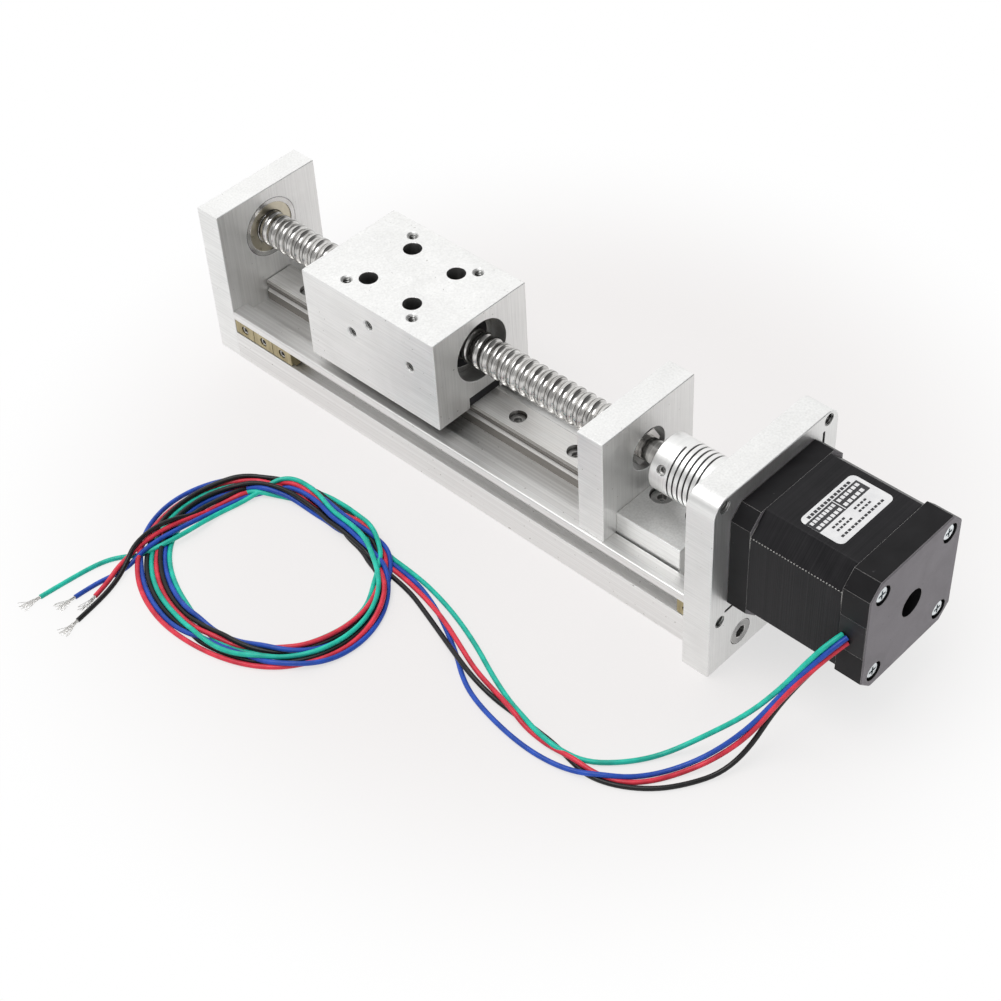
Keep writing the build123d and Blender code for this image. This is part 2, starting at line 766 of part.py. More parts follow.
# Stator stack, eight teeth on a square yoke
tooth_length = (yoke_diameter - rotor_diameter) / 2 + tooth_root
with BuildPart() as motor_stator:
    with BuildSketch(Plane.YZ.offset(stator_start)) as stack:
        with Locations((0, screw_height)):
            Rectangle(motor_size, motor_size)
        chamfer(stack.vertices(), stator_corner)
        with Locations((0, screw_height)):
            Circle(yoke_diameter / 2, mode=Mode.SUBTRACT)
            with PolarLocations(yoke_diameter / 2 + tooth_root, tooth_count):
                Rectangle(tooth_length, tooth_width, align=(Align.MAX, Align.CENTER))
            Circle(rotor_diameter / 2 + running_gap, mode=Mode.SUBTRACT)
            with GridLocations(motor_screw_spacing, motor_screw_spacing, 2, 2):
                Circle(case_hole, mode=Mode.SUBTRACT)
    extrude(amount=stator_end - stator_start)
finish(motor_stator, "motor_stator")

# Windings, one round each tooth
winding_middle = winding_reach - winding_height / 2
with BuildPart() as motor_windings:
    with BuildSketch(Plane.YZ.offset(stator_start - winding_overhang)):
        with Locations((0, screw_height)):
            with PolarLocations(winding_middle, tooth_count):
                Rectangle(winding_height, 2 * winding_half)
    extrude(amount=stator_end - stator_start + 2 * winding_overhang)
    with BuildSketch(Plane.YZ.offset(stator_start)):
        with Locations((0, screw_height)):
            with PolarLocations(winding_middle, tooth_count):
                Rectangle(winding_height + 2 * tooth_root, tooth_width + 2 * seat_play)
    extrude(amount=stator_end - stator_start, mode=Mode.SUBTRACT)
finish(motor_windings, "motor_windings")

# Motor rear cap, with four screw recesses, the shaft's hole and the seat of the lead outlet
outlet_y = -motor_size / 2
with BuildPart() as motor_rear_cap_part:
    with BuildSketch(Plane.YZ.offset(stator_end)) as square_end:
        with Locations((0, screw_height)):
            Rectangle(motor_size, motor_size)
        chamfer(square_end.vertices(), motor_corner)
    extrude(amount=motor_rear_cap)
    chamfer(motor_rear_cap_part.faces().sort_by(Axis.X)[-1].edges(), motor_edge)
    with Locations(facing_away(stator_end, 0, screw_height)):
        CounterBoreHole(
            rear_hole / 2,
            motor_bearing_diameter / 2 + seat_play,
            rear_bearing_start + motor_bearing_width - stator_end,
        )
    with BuildSketch(Plane.YZ.offset(stator_end)):
        with Locations((0, screw_height)):
            Circle(cavity_diameter / 2)
            Circle(motor_bearing_diameter / 2 + bearing_boss_wall, mode=Mode.SUBTRACT)
    extrude(amount=cavity_depth, mode=Mode.SUBTRACT)
    with Locations(facing_motor(motor_end, 0, screw_height)):
        with GridLocations(motor_screw_spacing, motor_screw_spacing, 2, 2):
            CounterBoreHole(case_hole, screw_recess / 2, screw_recess_depth)
    with Locations((stator_end + outlet_length / 2, outlet_y, screw_height)):
        Box(outlet_length, 2 * outlet_depth, outlet_height, mode=Mode.SUBTRACT)
finish(motor_rear_cap_part, "motor_rear_cap")

# Long screws that hold the motor together, with pan heads in the rear recesses
case_screw_end = motor_start + motor_screw_bite + drill_reserve / 2
case_seat = motor_end - screw_recess_depth
with BuildPart() as case_screw:
    Cylinder(case_head_diameter / 2, case_head_height, align=(Align.CENTER, Align.CENTER, Align.MIN))
    fillet(case_screw.edges().sort_by(Axis.Z)[-1], case_head_round)
    Cylinder(
        cap_screw_hole - thread_play,
        case_seat - case_screw_end,
        align=(Align.CENTER, Align.CENTER, Align.MAX),
    )
    with BuildSketch(Plane.XY.offset(case_head_height)):
        Rectangle(case_cross_length, case_cross_width)
        Rectangle(case_cross_width, case_cross_length)
    extrude(amount=-case_cross_depth, mode=Mode.SUBTRACT)
with BuildPart() as motor_case_screws:
    with Locations(facing_motor(case_seat, 0, screw_height)):
        with GridLocations(motor_screw_spacing, motor_screw_spacing, 2, 2):
            add(case_screw.part)
finish(motor_case_screws, "motor_case_screws")

# Points of each lead's free run, from the outlet to the coil, chosen along the real route
lead_runs = {
    "green": [
        (129.8, -21.4, 44.2), (129.5, -27.5, 43.1), (126.5, -33, 34), (119.8, -38.5, 20),
        (108.5, -47.5, 7.5), (99.5, -60, 0.9), (88.5, -73, 0.9), (72, -79.5, 0.9),
        (54, -76.5, 0.9), (32, -66, 0.9), (8, -58, 0.9), (-14, -55.5, 0.9),
    ],
    "blue": [
        (131.4, -21.4, 43.2), (131.1, -27.8, 42), (128.3, -34, 32.5), (121.8, -40.5, 18),
        (111, -50.5, 6.5), (101.5, -63, 0.9), (89.5, -75.8, 0.9), (72, -81.9, 0.9),
        (53, -78.7, 0.9), (31, -68.2, 0.9), (7.5, -60.2, 0.9), (-13, -57.8, 0.9),
    ],
    "red": [
        (133, -21.4, 42.2), (132.7, -28, 40.7), (130, -35, 31), (123.8, -42.5, 16),
        (113.5, -53.5, 5.5), (103.5, -66, 0.9), (90.5, -78.6, 0.9), (72, -84.3, 0.9),
        (52, -80.9, 0.9), (30, -70.4, 0.9), (7, -62.4, 0.9), (-12, -60.1, 0.9),
    ],
    "black": [
        (134.6, -21.4, 41.2), (134.3, -28.3, 39.5), (131.7, -36, 29.5), (125.8, -44.5, 14),
        (116, -56.5, 4.5), (105.5, -69, 0.9), (91.5, -81.4, 0.9), (72, -86.7, 0.9),
        (51, -83.1, 0.9), (29, -72.6, 0.9), (6.5, -64.6, 0.9), (-11, -62.3, 0.9),
    ],
}
# Points of each lead's tail, from the coil to the stripped end
lead_tails = {
    "green": [
        (-79, -102, 2.2), (-83, -112, 1.2), (-85.8, -123, 0.9),
        (-86.8, -133, 0.9), (-87.4, -141.3, 0.9),
    ],
    "blue": [
        (-76.5, -104.5, 2.2), (-79, -112.5, 1.2), (-80, -120.5, 0.9),
        (-80.2, -128, 0.9), (-79, -134, 0.9),
    ],
    "red": [
        (-74.4, -106.5, 2.2), (-76, -113, 1.2), (-77, -119, 0.9),
        (-76.2, -125, 0.9), (-74.5, -129.5, 0.9),
    ],
    "black": [
        (-71.8, -108, 2.2), (-73, -114.5, 1.2), (-73, -121, 0.9),
        (-71.2, -130, 0.9), (-70.5, -139.6, 0.9),
    ],
}


def bend_radii(points):
    """The largest even arc at each point of a route, which its two runs allow."""
    radii = []
    for before, here, after in zip(points, points[1:], points[2:]):
        run_in = Vector(*here) - Vector(*before)
        run_out = Vector(*after) - Vector(*here)
        half_turn = radians(run_in.get_angle(run_out)) / 2
        radii.append(bend_share * min(run_in.length, run_out.length) / tan(half_turn))
    return radii


def lead_tube(points, name):
    """Sweep a lead's round section along its route."""
    radii = bend_radii(points)
    print(name, "arc radii", [round(r, 1) for r in radii])
    with BuildPart() as tube:
        with BuildLine() as route:
            FilletPolyline(*points, radius=radii)
        with BuildSketch(Plane(origin=route.line @ 0, z_dir=route.line % 0)):
            Circle(lead_diameter / 2)
        sweep()
    run_length = sum(edge.length for edge in route.edges())
    print(name, "length", round(run_length, 1), "volume", round(tube.part.volume, 1))
    return tube


for colour, points in lead_runs.items():
    finish(lead_tube(points, f"lead_{colour}"), f"lead_{colour}")
for colour, points in lead_tails.items():
    finish(lead_tube(points, f"tail_{colour}"), f"tail_{colour}")

# Stripped conductor ends, straight on from the tails
with BuildPart() as conductor_tips:
    for points in lead_tails.values():
        end = Vector(*points[-1])
        with BuildSketch(Plane(origin=end, z_dir=end - Vector(*points[-2]))):
            Circle(tip_diameter / 2)
        extrude(amount=tip_length)
finish(conductor_tips, "conductor_tips")

# Coil of all four leads, lying flat
with BuildPart() as lead_coil:
    with BuildSketch(Plane.XZ.offset(-coil_middle[1])):
        with Locations((coil_middle[0] + coil_radius, coil_thickness / 2)):
            RectangleRounded(coil_band, coil_thickness, coil_round)
    revolve(axis=Axis((coil_middle[0], coil_middle[1], 0), (0, 0, 1)))
finish(lead_coil, "lead_coil")

# Outlet, a moulded insert that the leads come out of
with BuildPart() as lead_outlet:
    with Locations((stator_end + outlet_length / 2, outlet_y, screw_height)):
        Box(
            outlet_length - 2 * seat_play,
            outlet_depth - seat_play,
            outlet_height - 2 * seat_play,
            align=(Align.CENTER, Align.MIN, Align.CENTER),
        )
finish(lead_outlet, "lead_outlet")

# Nuts in the front slot: a plate in the channel with a neck in the opening, the last one cut shorter
slot_floor = base_width / 2 - slot_depth
slot_nut_places = [(base_start + nut_pitch * (i + 0.5), slot_nut_length) for i in range(slot_nut_count)]
slot_nut_places.append((motor_plate_start - last_nut_length / 2 - running_gap, last_nut_length))
with BuildPart() as slot_nuts:
    for x, length in slot_nut_places:
        with BuildSketch(Plane.YZ.offset(x - length / 2)):
            with Locations((-(base_width - slot_lip - slot_depth) / 2, slot_height)):
                Rectangle(slot_depth - slot_lip - 2 * running_gap, slot_channel - 2 * running_gap)
            with Locations((-slot_floor - running_gap, slot_height)):
                Rectangle(
                    slot_depth - 2 * running_gap,
                    slot_opening - 2 * running_gap,
                    align=(Align.MAX, Align.CENTER),
                )
        extrude(amount=length)
        with Locations(Location((x, -base_width / 2, slot_height), (90, 0, 0))):
            Hole(slot_nut_hole / 2, depth=slot_depth)
finish(slot_nuts, "slot_nuts")
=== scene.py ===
from math import cos, pi, radians, sin

import bmesh
import bpy
from mathutils import Matrix, Vector, noise


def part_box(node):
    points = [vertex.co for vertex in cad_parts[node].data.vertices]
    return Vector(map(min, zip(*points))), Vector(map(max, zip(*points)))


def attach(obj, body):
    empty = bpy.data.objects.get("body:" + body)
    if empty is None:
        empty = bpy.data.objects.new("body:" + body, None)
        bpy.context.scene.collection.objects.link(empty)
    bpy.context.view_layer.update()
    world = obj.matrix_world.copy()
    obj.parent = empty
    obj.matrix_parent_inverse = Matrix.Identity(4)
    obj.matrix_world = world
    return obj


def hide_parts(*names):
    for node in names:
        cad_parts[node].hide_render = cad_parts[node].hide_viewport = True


# A screw-driven linear slide stage with its motor and four loose leads. Lengths are in metres.
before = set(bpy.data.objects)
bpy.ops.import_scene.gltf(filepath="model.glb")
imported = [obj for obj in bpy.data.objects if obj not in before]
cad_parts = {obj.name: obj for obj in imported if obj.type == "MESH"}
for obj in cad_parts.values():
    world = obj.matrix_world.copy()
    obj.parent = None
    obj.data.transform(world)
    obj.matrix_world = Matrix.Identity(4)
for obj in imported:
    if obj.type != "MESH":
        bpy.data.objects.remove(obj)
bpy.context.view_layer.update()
MM = 0.001

# Camera: where it stands, the way it looks in degrees, and its lens and sensor in millimetres
camera_place = (0.32801, -0.33804, 0.46089)
camera_azimuth = 46.087
camera_elevation = 44.646
camera_roll = -3.651
camera_lens = 72.41
camera_sensor = 36.0
camera_near = 0.01

# Leads, from the outlet in the rear cap to the stripped ends
lead_names = ("green", "blue", "red", "black")
lead_diameter = 0.0016
lead_roundness = 5
lead_resolution = 5
floor_clearance = 0.0001
lead_runs = {
    "green": [
        (0.1304, -0.0214, 0.0436), (0.1292, -0.0261, 0.0429), (0.1261, -0.0311, 0.0370),
        (0.1216, -0.0356, 0.0266), (0.1150, -0.0412, 0.0150), (0.1062, -0.0495, 0.0056),
        (0.0994, -0.0596, 0.0009), (0.0934, -0.0686, 0.0009), (0.0850, -0.0762, 0.0009),
        (0.0765, -0.0789, 0.0022), (0.0670, -0.0783, 0.0023), (0.0600, -0.0766, 0.0022),
        (0.0525, -0.0744, 0.0009), (0.0420, -0.0706, 0.0009), (0.0300, -0.0652, 0.0009),
        (0.0160, -0.0604, 0.0009), (0.0020, -0.0574, 0.0009), (-0.0090, -0.0566, 0.0009),
    ],
    "blue": [
        (0.1319, -0.0214, 0.0433), (0.1307, -0.0259, 0.0422), (0.1266, -0.0319, 0.0348),
        (0.1222, -0.0366, 0.0248), (0.1172, -0.0436, 0.0126), (0.1108, -0.0532, 0.0040),
        (0.1042, -0.0636, 0.0009), (0.0980, -0.0722, 0.0012), (0.0914, -0.0779, 0.0026),
        (0.0846, -0.0814, 0.0014), (0.0755, -0.0835, 0.0009), (0.0650, -0.0840, 0.0009),
        (0.0530, -0.0826, 0.0009), (0.0425, -0.0802, 0.0009), (0.0350, -0.0766, 0.0009),
        (0.0284, -0.0720, 0.0009), (0.0195, -0.0670, 0.0009), (0.0095, -0.0622, 0.0009),
        (-0.0010, -0.0590, 0.0009), (-0.0090, -0.0582, 0.0009),
    ],
    "red": [
        (0.1323, -0.0214, 0.0416), (0.1309, -0.0259, 0.0403), (0.1267, -0.0330, 0.0326),
        (0.1221, -0.0379, 0.0224), (0.1181, -0.0441, 0.0110), (0.1128, -0.0523, 0.0037),
        (0.1076, -0.0610, 0.0009), (0.1026, -0.0698, 0.0009), (0.0964, -0.0756, 0.0009),
        (0.0886, -0.0779, 0.0012), (0.0810, -0.0786, 0.0025), (0.0725, -0.0791, 0.0010),
        (0.0630, -0.0786, 0.0010), (0.0555, -0.0769, 0.0025), (0.0465, -0.0746, 0.0010),
        (0.0365, -0.0726, 0.0014), (0.0270, -0.0693, 0.0027), (0.0160, -0.0652, 0.0027),
        (0.0045, -0.0618, 0.0014), (-0.0070, -0.0599, 0.0009),
    ],
    "black": [
        (0.1314, -0.0214, 0.0403), (0.1300, -0.0251, 0.0390), (0.1257, -0.0310, 0.0302),
        (0.1212, -0.0374, 0.0186), (0.1188, -0.0452, 0.0062), (0.1162, -0.0540, 0.0014),
        (0.1114, -0.0630, 0.0009), (0.1054, -0.0708, 0.0009), (0.0970, -0.0768, 0.0009),
        (0.0885, -0.0797, 0.0009), (0.0815, -0.0789, 0.0009), (0.0735, -0.0774, 0.0009),
        (0.0645, -0.0770, 0.0009), (0.0560, -0.0769, 0.0009), (0.0475, -0.0766, 0.0009),
        (0.0385, -0.0758, 0.0026), (0.0295, -0.0732, 0.0028), (0.0195, -0.0694, 0.0012),
        (0.0090, -0.0659, 0.0009), (-0.0020, -0.0626, 0.0009),
    ],
}
lead_tails = {
    "green": [
        (-0.0732, -0.0955, 0.0026), (-0.0749, -0.1024, 0.0022), (-0.0772, -0.1084, 0.0009),
        (-0.0812, -0.1126, 0.0009), (-0.0844, -0.1180, 0.0009), (-0.0862, -0.1280, 0.0009),
        (-0.0874, -0.1413, 0.0009),
    ],
    "blue": [
        (-0.0759, -0.0945, 0.0028), (-0.0770, -0.1015, 0.0028), (-0.0769, -0.1088, 0.0026),
        (-0.0763, -0.1142, 0.0012), (-0.0770, -0.1194, 0.0009), (-0.0786, -0.1262, 0.0009),
        (-0.0790, -0.1340, 0.0009),
    ],
    "red": [
        (-0.0780, -0.0925, 0.0030), (-0.0792, -0.1002, 0.0033), (-0.0790, -0.1082, 0.0032),
        (-0.0786, -0.1130, 0.0024), (-0.0774, -0.1182, 0.0024), (-0.0759, -0.1236, 0.0010),
        (-0.0745, -0.1295, 0.0009),
    ],
    "black": [
        (-0.0790, -0.0920, 0.0042), (-0.0809, -0.1000, 0.0046), (-0.0794, -0.1092, 0.0047),
        (-0.0766, -0.1150, 0.0026), (-0.0744, -0.1210, 0.0010), (-0.0720, -0.1296, 0.0009),
        (-0.0705, -0.1396, 0.0009),
    ],
}

# The coil that the leads lie in, an oval wound anticlockwise seen from above, in degrees round its middle,
# and how far, how fast and how far apart from each other the leads wander in it
coil_middle = Vector((-0.0423, -0.0870, 0))
coil_radius = 0.0363
coil_oval = 0.0045
coil_oval_angle = -5
coil_start = 48
coil_end = 900
coil_step = 6
coil_wander = 0.0004
coil_wander_pace = 0.012
coil_wander_apart = 3.7
coil_wander_depth = 0.5

# Places of each lead across the coil's band at angles along its turns, in millimetres out from its middle
lane_angles = (
    48, 60, 80, 110, 125, 150, 180, 225, 250, 300, 345, 385, 408, 425, 450, 485, 510, 540, 585, 610,
    660, 705, 745, 768, 785, 810, 830, 846, 862, 880, 900,
)
lanes = {
    "green": (
        6.0, 1.7, -1.2, -1.5, -3.0, -1.6, -3.6, -6.4, -5.9, -1.9, -5.2, -1.2, 2.1, 4.0, 3.9, 3.4, 2.0,
        1.0, -0.3, -0.5, 1.2, -0.4, 0.8, -1.0, -0.2, -3.6, 1.4, 5.8, -3.0, -8.6, -10.4,
    ),
    "blue": (
        3.9, -0.1, -4.0, -4.2, -2.4, -0.5, -2.5, -4.9, -4.4, -5.4, -1.4, 1.0, 5.2, 2.4, 0.2, 4.4, 5.6,
        6.0, 2.7, 2.6, -0.9, 4.4, 3.8, 1.0, -2.2, -3.0, -0.9, 3.8, -2.2, -7.0, -8.0,
    ),
    "red": (
        1.8, -1.9, -2.4, -2.6, -1.2, 1.6, -0.2, -1.7, -1.9, -3.0, -3.8, -0.2, 3.7, 3.6, 1.4, 1.6, 3.0,
        3.4, 4.4, 4.4, 2.6, 2.8, 2.6, 0.2, -1.2, -3.4, 0.4, 5.0, -1.4, -5.6, -6.3,
    ),
    "black": (
        -0.3, -3.4, -3.2, -3.4, -1.8, 0.6, -1.2, -3.4, -3.2, -4.2, -2.6, 0.2, 3.0, 3.0, 2.7, 2.6, 4.0,
        2.2, 1.0, 1.0, 0.1, 1.2, 1.8, -0.4, -3.0, -3.2, -0.2, 4.4, -0.6, -4.4, -5.2,
    ),
}

# Which lies on which: stretches where the last turn passes under others, with its level there, and stretches
# where the four leads of a turn lie in another order than that of their names, from the lowest up
coil_dives = ((750, 805, 0.5), (850, 868, -1.0))
coil_orders = (
    (225, 348, ("green", "red", "black", "blue")),
    (350, 462, ("black", "red", "blue", "green")),
    (590, 868, ("black", "red", "blue", "green")),
)

# Heights of a lead's middle on the floor, and at the coil's end, where it leaves over the others
lead_rest = 0.0009
lead_lift = 0.0024

# How the turns settle: sweeps, passes in each, smoothing along a lead, pull to its lane, sinking, spacing,
# and how strongly the higher one is pushed on top
settle_sweeps = 160
settle_passes = 2
settle_smoothing = 0.35
settle_pull = 0.08
settle_sink = 0.00006
settle_gap = 0.00164
settle_bias = 0.0007

# Stripped strands at the end of each lead: their sizes, how they twist, fan out and bend, the share of the
# length that the shortest has, and the steps from strand to strand in length and bend
strand_count = 14
strand_diameter = 0.00017
strand_ring = 0.0004
strand_length = 0.0074
strand_overlap = 0.0004
strand_twist = 3.0
strand_fan = 1.5
strand_bend = 0.0014
strand_samples = 10
strand_roundness = 2
strand_shortest = 0.86
strand_length_step = 2.3
strand_bend_step = 1.7

# Label on the motor's top: its corners, and rows of plain blocks in place of print, each with its start and
# end along X, then along Y, how many blocks it has, and whether they are dark or white
motor_top = 0.06545
label_low = (0.1068, -0.0125)
label_high = (0.1216, 0.0120)
label_corner = 0.0019
label_lift = 0.00001
label_thickness = 0.00006
print_thickness = 0.00002
print_corner = 0.00008
corner_steps = 5
label_rows = [
    (0.1078, 0.1088, -0.0102, 0.0088, 13, "ink"),
    (0.1092, 0.1141, -0.01249, 0.0106, 1, "ink"),
    (0.1099, 0.1111, -0.0117, -0.0012, 8, "paper"),
    (0.1099, 0.1111, 0.0004, 0.0098, 6, "paper"),
    (0.1122, 0.1134, -0.0117, -0.0012, 7, "paper"),
    (0.1122, 0.1134, 0.0004, 0.0090, 5, "paper"),
    (0.1094, 0.1139, -0.0006, -0.0003, 1, "paper"),
    (0.1153, 0.1160, -0.0088, -0.0034, 4, "ink"),
    (0.1153, 0.1160, 0.0010, 0.0064, 4, "ink"),
    (0.1169, 0.1176, -0.0088, -0.0022, 5, "ink"),
    (0.1169, 0.1176, 0.0010, 0.0064, 4, "ink"),
    (0.1191, 0.1199, -0.0098, 0.0092, 13, "ink"),
]
block_share = 0.74

# The screw: its height, its ends and journals along X, the groove that its balls run in, and how deep the
# groove's rounded edges start
screw_height = 0.0443
screw_radius = 0.006
screw_lead = 0.004
screw_sides = 72
thread_start = -0.1277
thread_end = 0.03255
end_journal = (-0.1366, 0.00395)
fixed_journal = (0.03765, 0.00495)
drive_journal = (0.0617, 0.00395)
journal_chamfer = 0.0004
groove_width = 0.0026
groove_depth = 0.0007
groove_samples = 10
land_round = 0.00022
groove_edge = 0.00006

# The outboard bearing's outer radius, where a thin dark line is drawn: partly oil that gathers there, partly
# painted shade
bearing_rim = 0.0111

# Threads in holes: radius, pitch and depth of each kind, how far the holes lie from the middle, and the
# thread's shape, as places in its pitch with how deep it is there
plate_tap = (0.0021, 0.0008, 0.0098)
table_tap = (0.00165, 0.0007, 0.0080)
side_tap = (0.00165, 0.0007, 0.0060)
plate_tap_reach = 0.02357
table_tap_reach = 0.015
side_tap_places = ((-0.0082, 0.0), (0.0002, 0.0072), (0.0182, 0.0))
tap_profile = ((0.0, 0.0), (0.1, 0.0), (0.42, 1.0), (0.58, 1.0), (0.9, 0.0))
tap_crest = 0.42
tap_chamfer = 0.00045
tap_start = 0.0001
tap_play = 0.00002
tap_wall = 0.00004
tap_sides = 32

# Set screws in the slot nuts: their places along the slot, and their sizes
nut_row = 3
nut_pitch = 0.0096
last_nut_length = 0.0073
nut_height = 0.014
set_screw_radius = 0.0016
set_screw_chamfer = 0.0003
set_screw_length = 0.0028
set_screw_key = 0.0009
set_screw_socket = 0.0015
set_screw_sink = 0.0003
set_screw_sides = 48

# The motor's stack: the length of two of its sheets, and a height, with the shares of it between which the
# sheets' ends are rubbed bare
sheet_pair = 0.001
bare_height = 0.064
bare_band = ((0.84, 0.0), (0.87, 1.0), (0.96, 1.0), (0.98, 0.0))

# Studio: the floor's size, its tone for light and for the eye, and the distances from the middle between
# which it turns plain white, each with how white it is there
floor_reach = 6.0
floor_tone = (0.93, 0.925, 0.93)
floor_roughness = 0.6
floor_shade = (0.64, 0.585, 0.57)
floor_near = (0.09, 0.66)
floor_far = (0.2, 1.0)

# The room: its bright and its dark side, each with the cosines between which it sets in, its levels of light,
# and the white band at its horizon
bright_side = (-0.51, 0.49, 0.70)
bright_span = (0.1, 0.85)
dark_side = (0.51, 0.49, 0.70)
dark_span = (0.55, 0.88)
world_fill = 0.5
world_bright = 1.13
world_dark = 0.2
world_horizon = (0.08, 0.26)

# The soft box over the stage
lamp_place = (-0.1, -0.35, 1.3)
lamp_size = 0.8
lamp_power = 9.0

# A Mix node's sockets for colours: its factor, the two colours and the result
mix_factor, mix_first, mix_second, mix_result = 0, 6, 7, 2


def add_node(tree, kind, **settings):
    """A new node in a tree, with its settings."""
    made = tree.nodes.new(kind)
    for name, value in settings.items():
        setattr(made, name, value)
    return made


def mix_colours(tree, share, first, second, blend="MIX"):
    """Two colours mixed. Share, first and second are each a socket or a constant."""
    mixer = add_node(tree, "ShaderNodeMix", data_type="RGBA", blend_type=blend)
    for index, value in ((mix_factor, share), (mix_first, first), (mix_second, second)):
        if isinstance(value, bpy.types.NodeSocket):
            tree.links.new(value, mixer.inputs[index])
        else:
            mixer.inputs[index].default_value = value if index == mix_factor else (*value, 1)
    return mixer.outputs[mix_result]


class Finish:
    """A procedural material: one Principled shader, fed by textures that are fixed to the piece."""

    def __init__(self, name, **sockets):
        self.material = bpy.data.materials.new(name)
        self.material.use_nodes = True
        self.tree = self.material.node_tree
        self.shader = self.tree.nodes["Principled BSDF"]
        self.place = self.node("ShaderNodeTexCoord")
        for socket, value in sockets.items():
            self.shader.inputs[socket.replace("_", " ")].default_value = value

    def node(self, kind, **settings):
        return add_node(self.tree, kind, **settings)

    def link(self, start, end):
        self.tree.links.new(start, end)

    def noise(self, scale, detail, distortion=0.0):
        """Noise in cells per metre, with one scale or one for each axis."""
        stretch = self.node("ShaderNodeMapping")
        stretch.inputs["Scale"].default_value = scale if isinstance(scale, tuple) else (scale,) * 3
        self.link(self.place.outputs["Object"], stretch.inputs["Vector"])
        cells = self.node("ShaderNodeTexNoise")
        cells.inputs["Scale"].default_value = 1.0
        cells.inputs["Detail"].default_value = detail
        cells.inputs["Distortion"].default_value = distortion
        self.link(stretch.outputs["Vector"], cells.inputs["Vector"])
        return cells.outputs["Fac"]

    def ramp(self, value, *stops):
        """A colour ramp over a value. Each stop is a place and a grey level or a colour."""
        ramp = self.node("ShaderNodeValToRGB")
        elements = ramp.color_ramp.elements
        for index, (place, colour) in enumerate(stops):
            element = elements[index] if index < 2 else elements.new(place)
            element.position = place
            element.color = (colour,) * 3 + (1,) if isinstance(colour, float) else (*colour, 1)
        self.link(value, ramp.inputs["Fac"])
        return ramp.outputs["Color"]

    def mix(self, share, first, second, blend="MIX"):
        return mix_colours(self.tree, share, first, second, blend)

    def facing(self, axis, first, second):
        """First where the surface faces away from an axis, second where it faces along it."""
        parts = self.node("ShaderNodeSeparateXYZ")
        self.link(self.place.outputs["Normal"], parts.inputs["Vector"])
        size = self.node("ShaderNodeMath", operation="ABSOLUTE")
        self.link(parts.outputs[axis], size.inputs[0])
        share = self.ramp(size.outputs[0], (0.55, 0.0), (0.75, 1.0))
        return self.mix(share, first, second)

    def height(self, reach):
        """The height above the floor, as a share of a reach in metres."""
        parts = self.node("ShaderNodeSeparateXYZ")
        self.link(self.place.outputs["Object"], parts.inputs["Vector"])
        share = self.node("ShaderNodeMath", operation="DIVIDE")
        self.link(parts.outputs["Z"], share.inputs[0])
        share.inputs[1].default_value = reach
        return share.outputs[0]

    def waves(self, length):
        """Even waves along X, of a length in metres."""
        wave = self.node("ShaderNodeTexWave", bands_direction="X")
        wave.inputs["Scale"].default_value = pi / 10 / length
        self.link(self.place.outputs["Object"], wave.inputs["Vector"])
        return wave.outputs["Fac"]

    def off_axis(self, radius):
        """The distance from the screw's axis, as a share of a radius."""
        centred = self.node("ShaderNodeVectorMath", operation="SUBTRACT")
        centred.inputs[1].default_value = (0, 0, screw_height)
        self.link(self.place.outputs["Object"], centred.inputs[0])
        across = self.node("ShaderNodeVectorMath", operation="MULTIPLY")
        across.inputs[1].default_value = (0, 1 / radius, 1 / radius)
        self.link(centred.outputs["Vector"], across.inputs[0])
        length = self.node("ShaderNodeVectorMath", operation="LENGTH")
        self.link(across.outputs["Vector"], length.inputs[0])
        return length.outputs["Value"]

    def edges(self, radius, full=0.86):
        """A rounded normal for the edges, and a mask that is 1 on them, where the normal turns by enough."""
        bevel = self.node("ShaderNodeBevel", samples=4)
        bevel.inputs["Radius"].default_value = radius
        surface = self.node("ShaderNodeNewGeometry")
        product = self.node("ShaderNodeVectorMath", operation="DOT_PRODUCT")
        self.link(bevel.outputs["Normal"], product.inputs[0])
        self.link(surface.outputs["Normal"], product.inputs[1])
        mask = self.ramp(product.outputs["Value"], (full, 1.0), (0.985, 0.0))
        return bevel.outputs["Normal"], mask

    def painted_cavity_shade(self, reach):
        """1 on open faces, and less the deeper a place lies in the piece's own holes; it is used to paint
        shade into them.
        """
        shade = self.node("ShaderNodeAmbientOcclusion", samples=6, only_local=True)
        shade.inputs["Distance"].default_value = reach
        return shade.outputs["AO"]

    def bump(self, height, distance, strength, normal=None):
        bump = self.node("ShaderNodeBump")
        bump.inputs["Distance"].default_value = distance
        bump.inputs["Strength"].default_value = strength
        self.link(height, bump.inputs["Height"])
        if normal is not None:
            self.link(normal, bump.inputs["Normal"])
        return bump.outputs["Normal"]

    def finish(self, colour, roughness, normal):
        """Feeds the shader, and gives back the material."""
        for socket, value in (("Base Color", colour), ("Roughness", roughness), ("Normal", normal)):
            self.link(value, self.shader.inputs[socket])
        return self.material


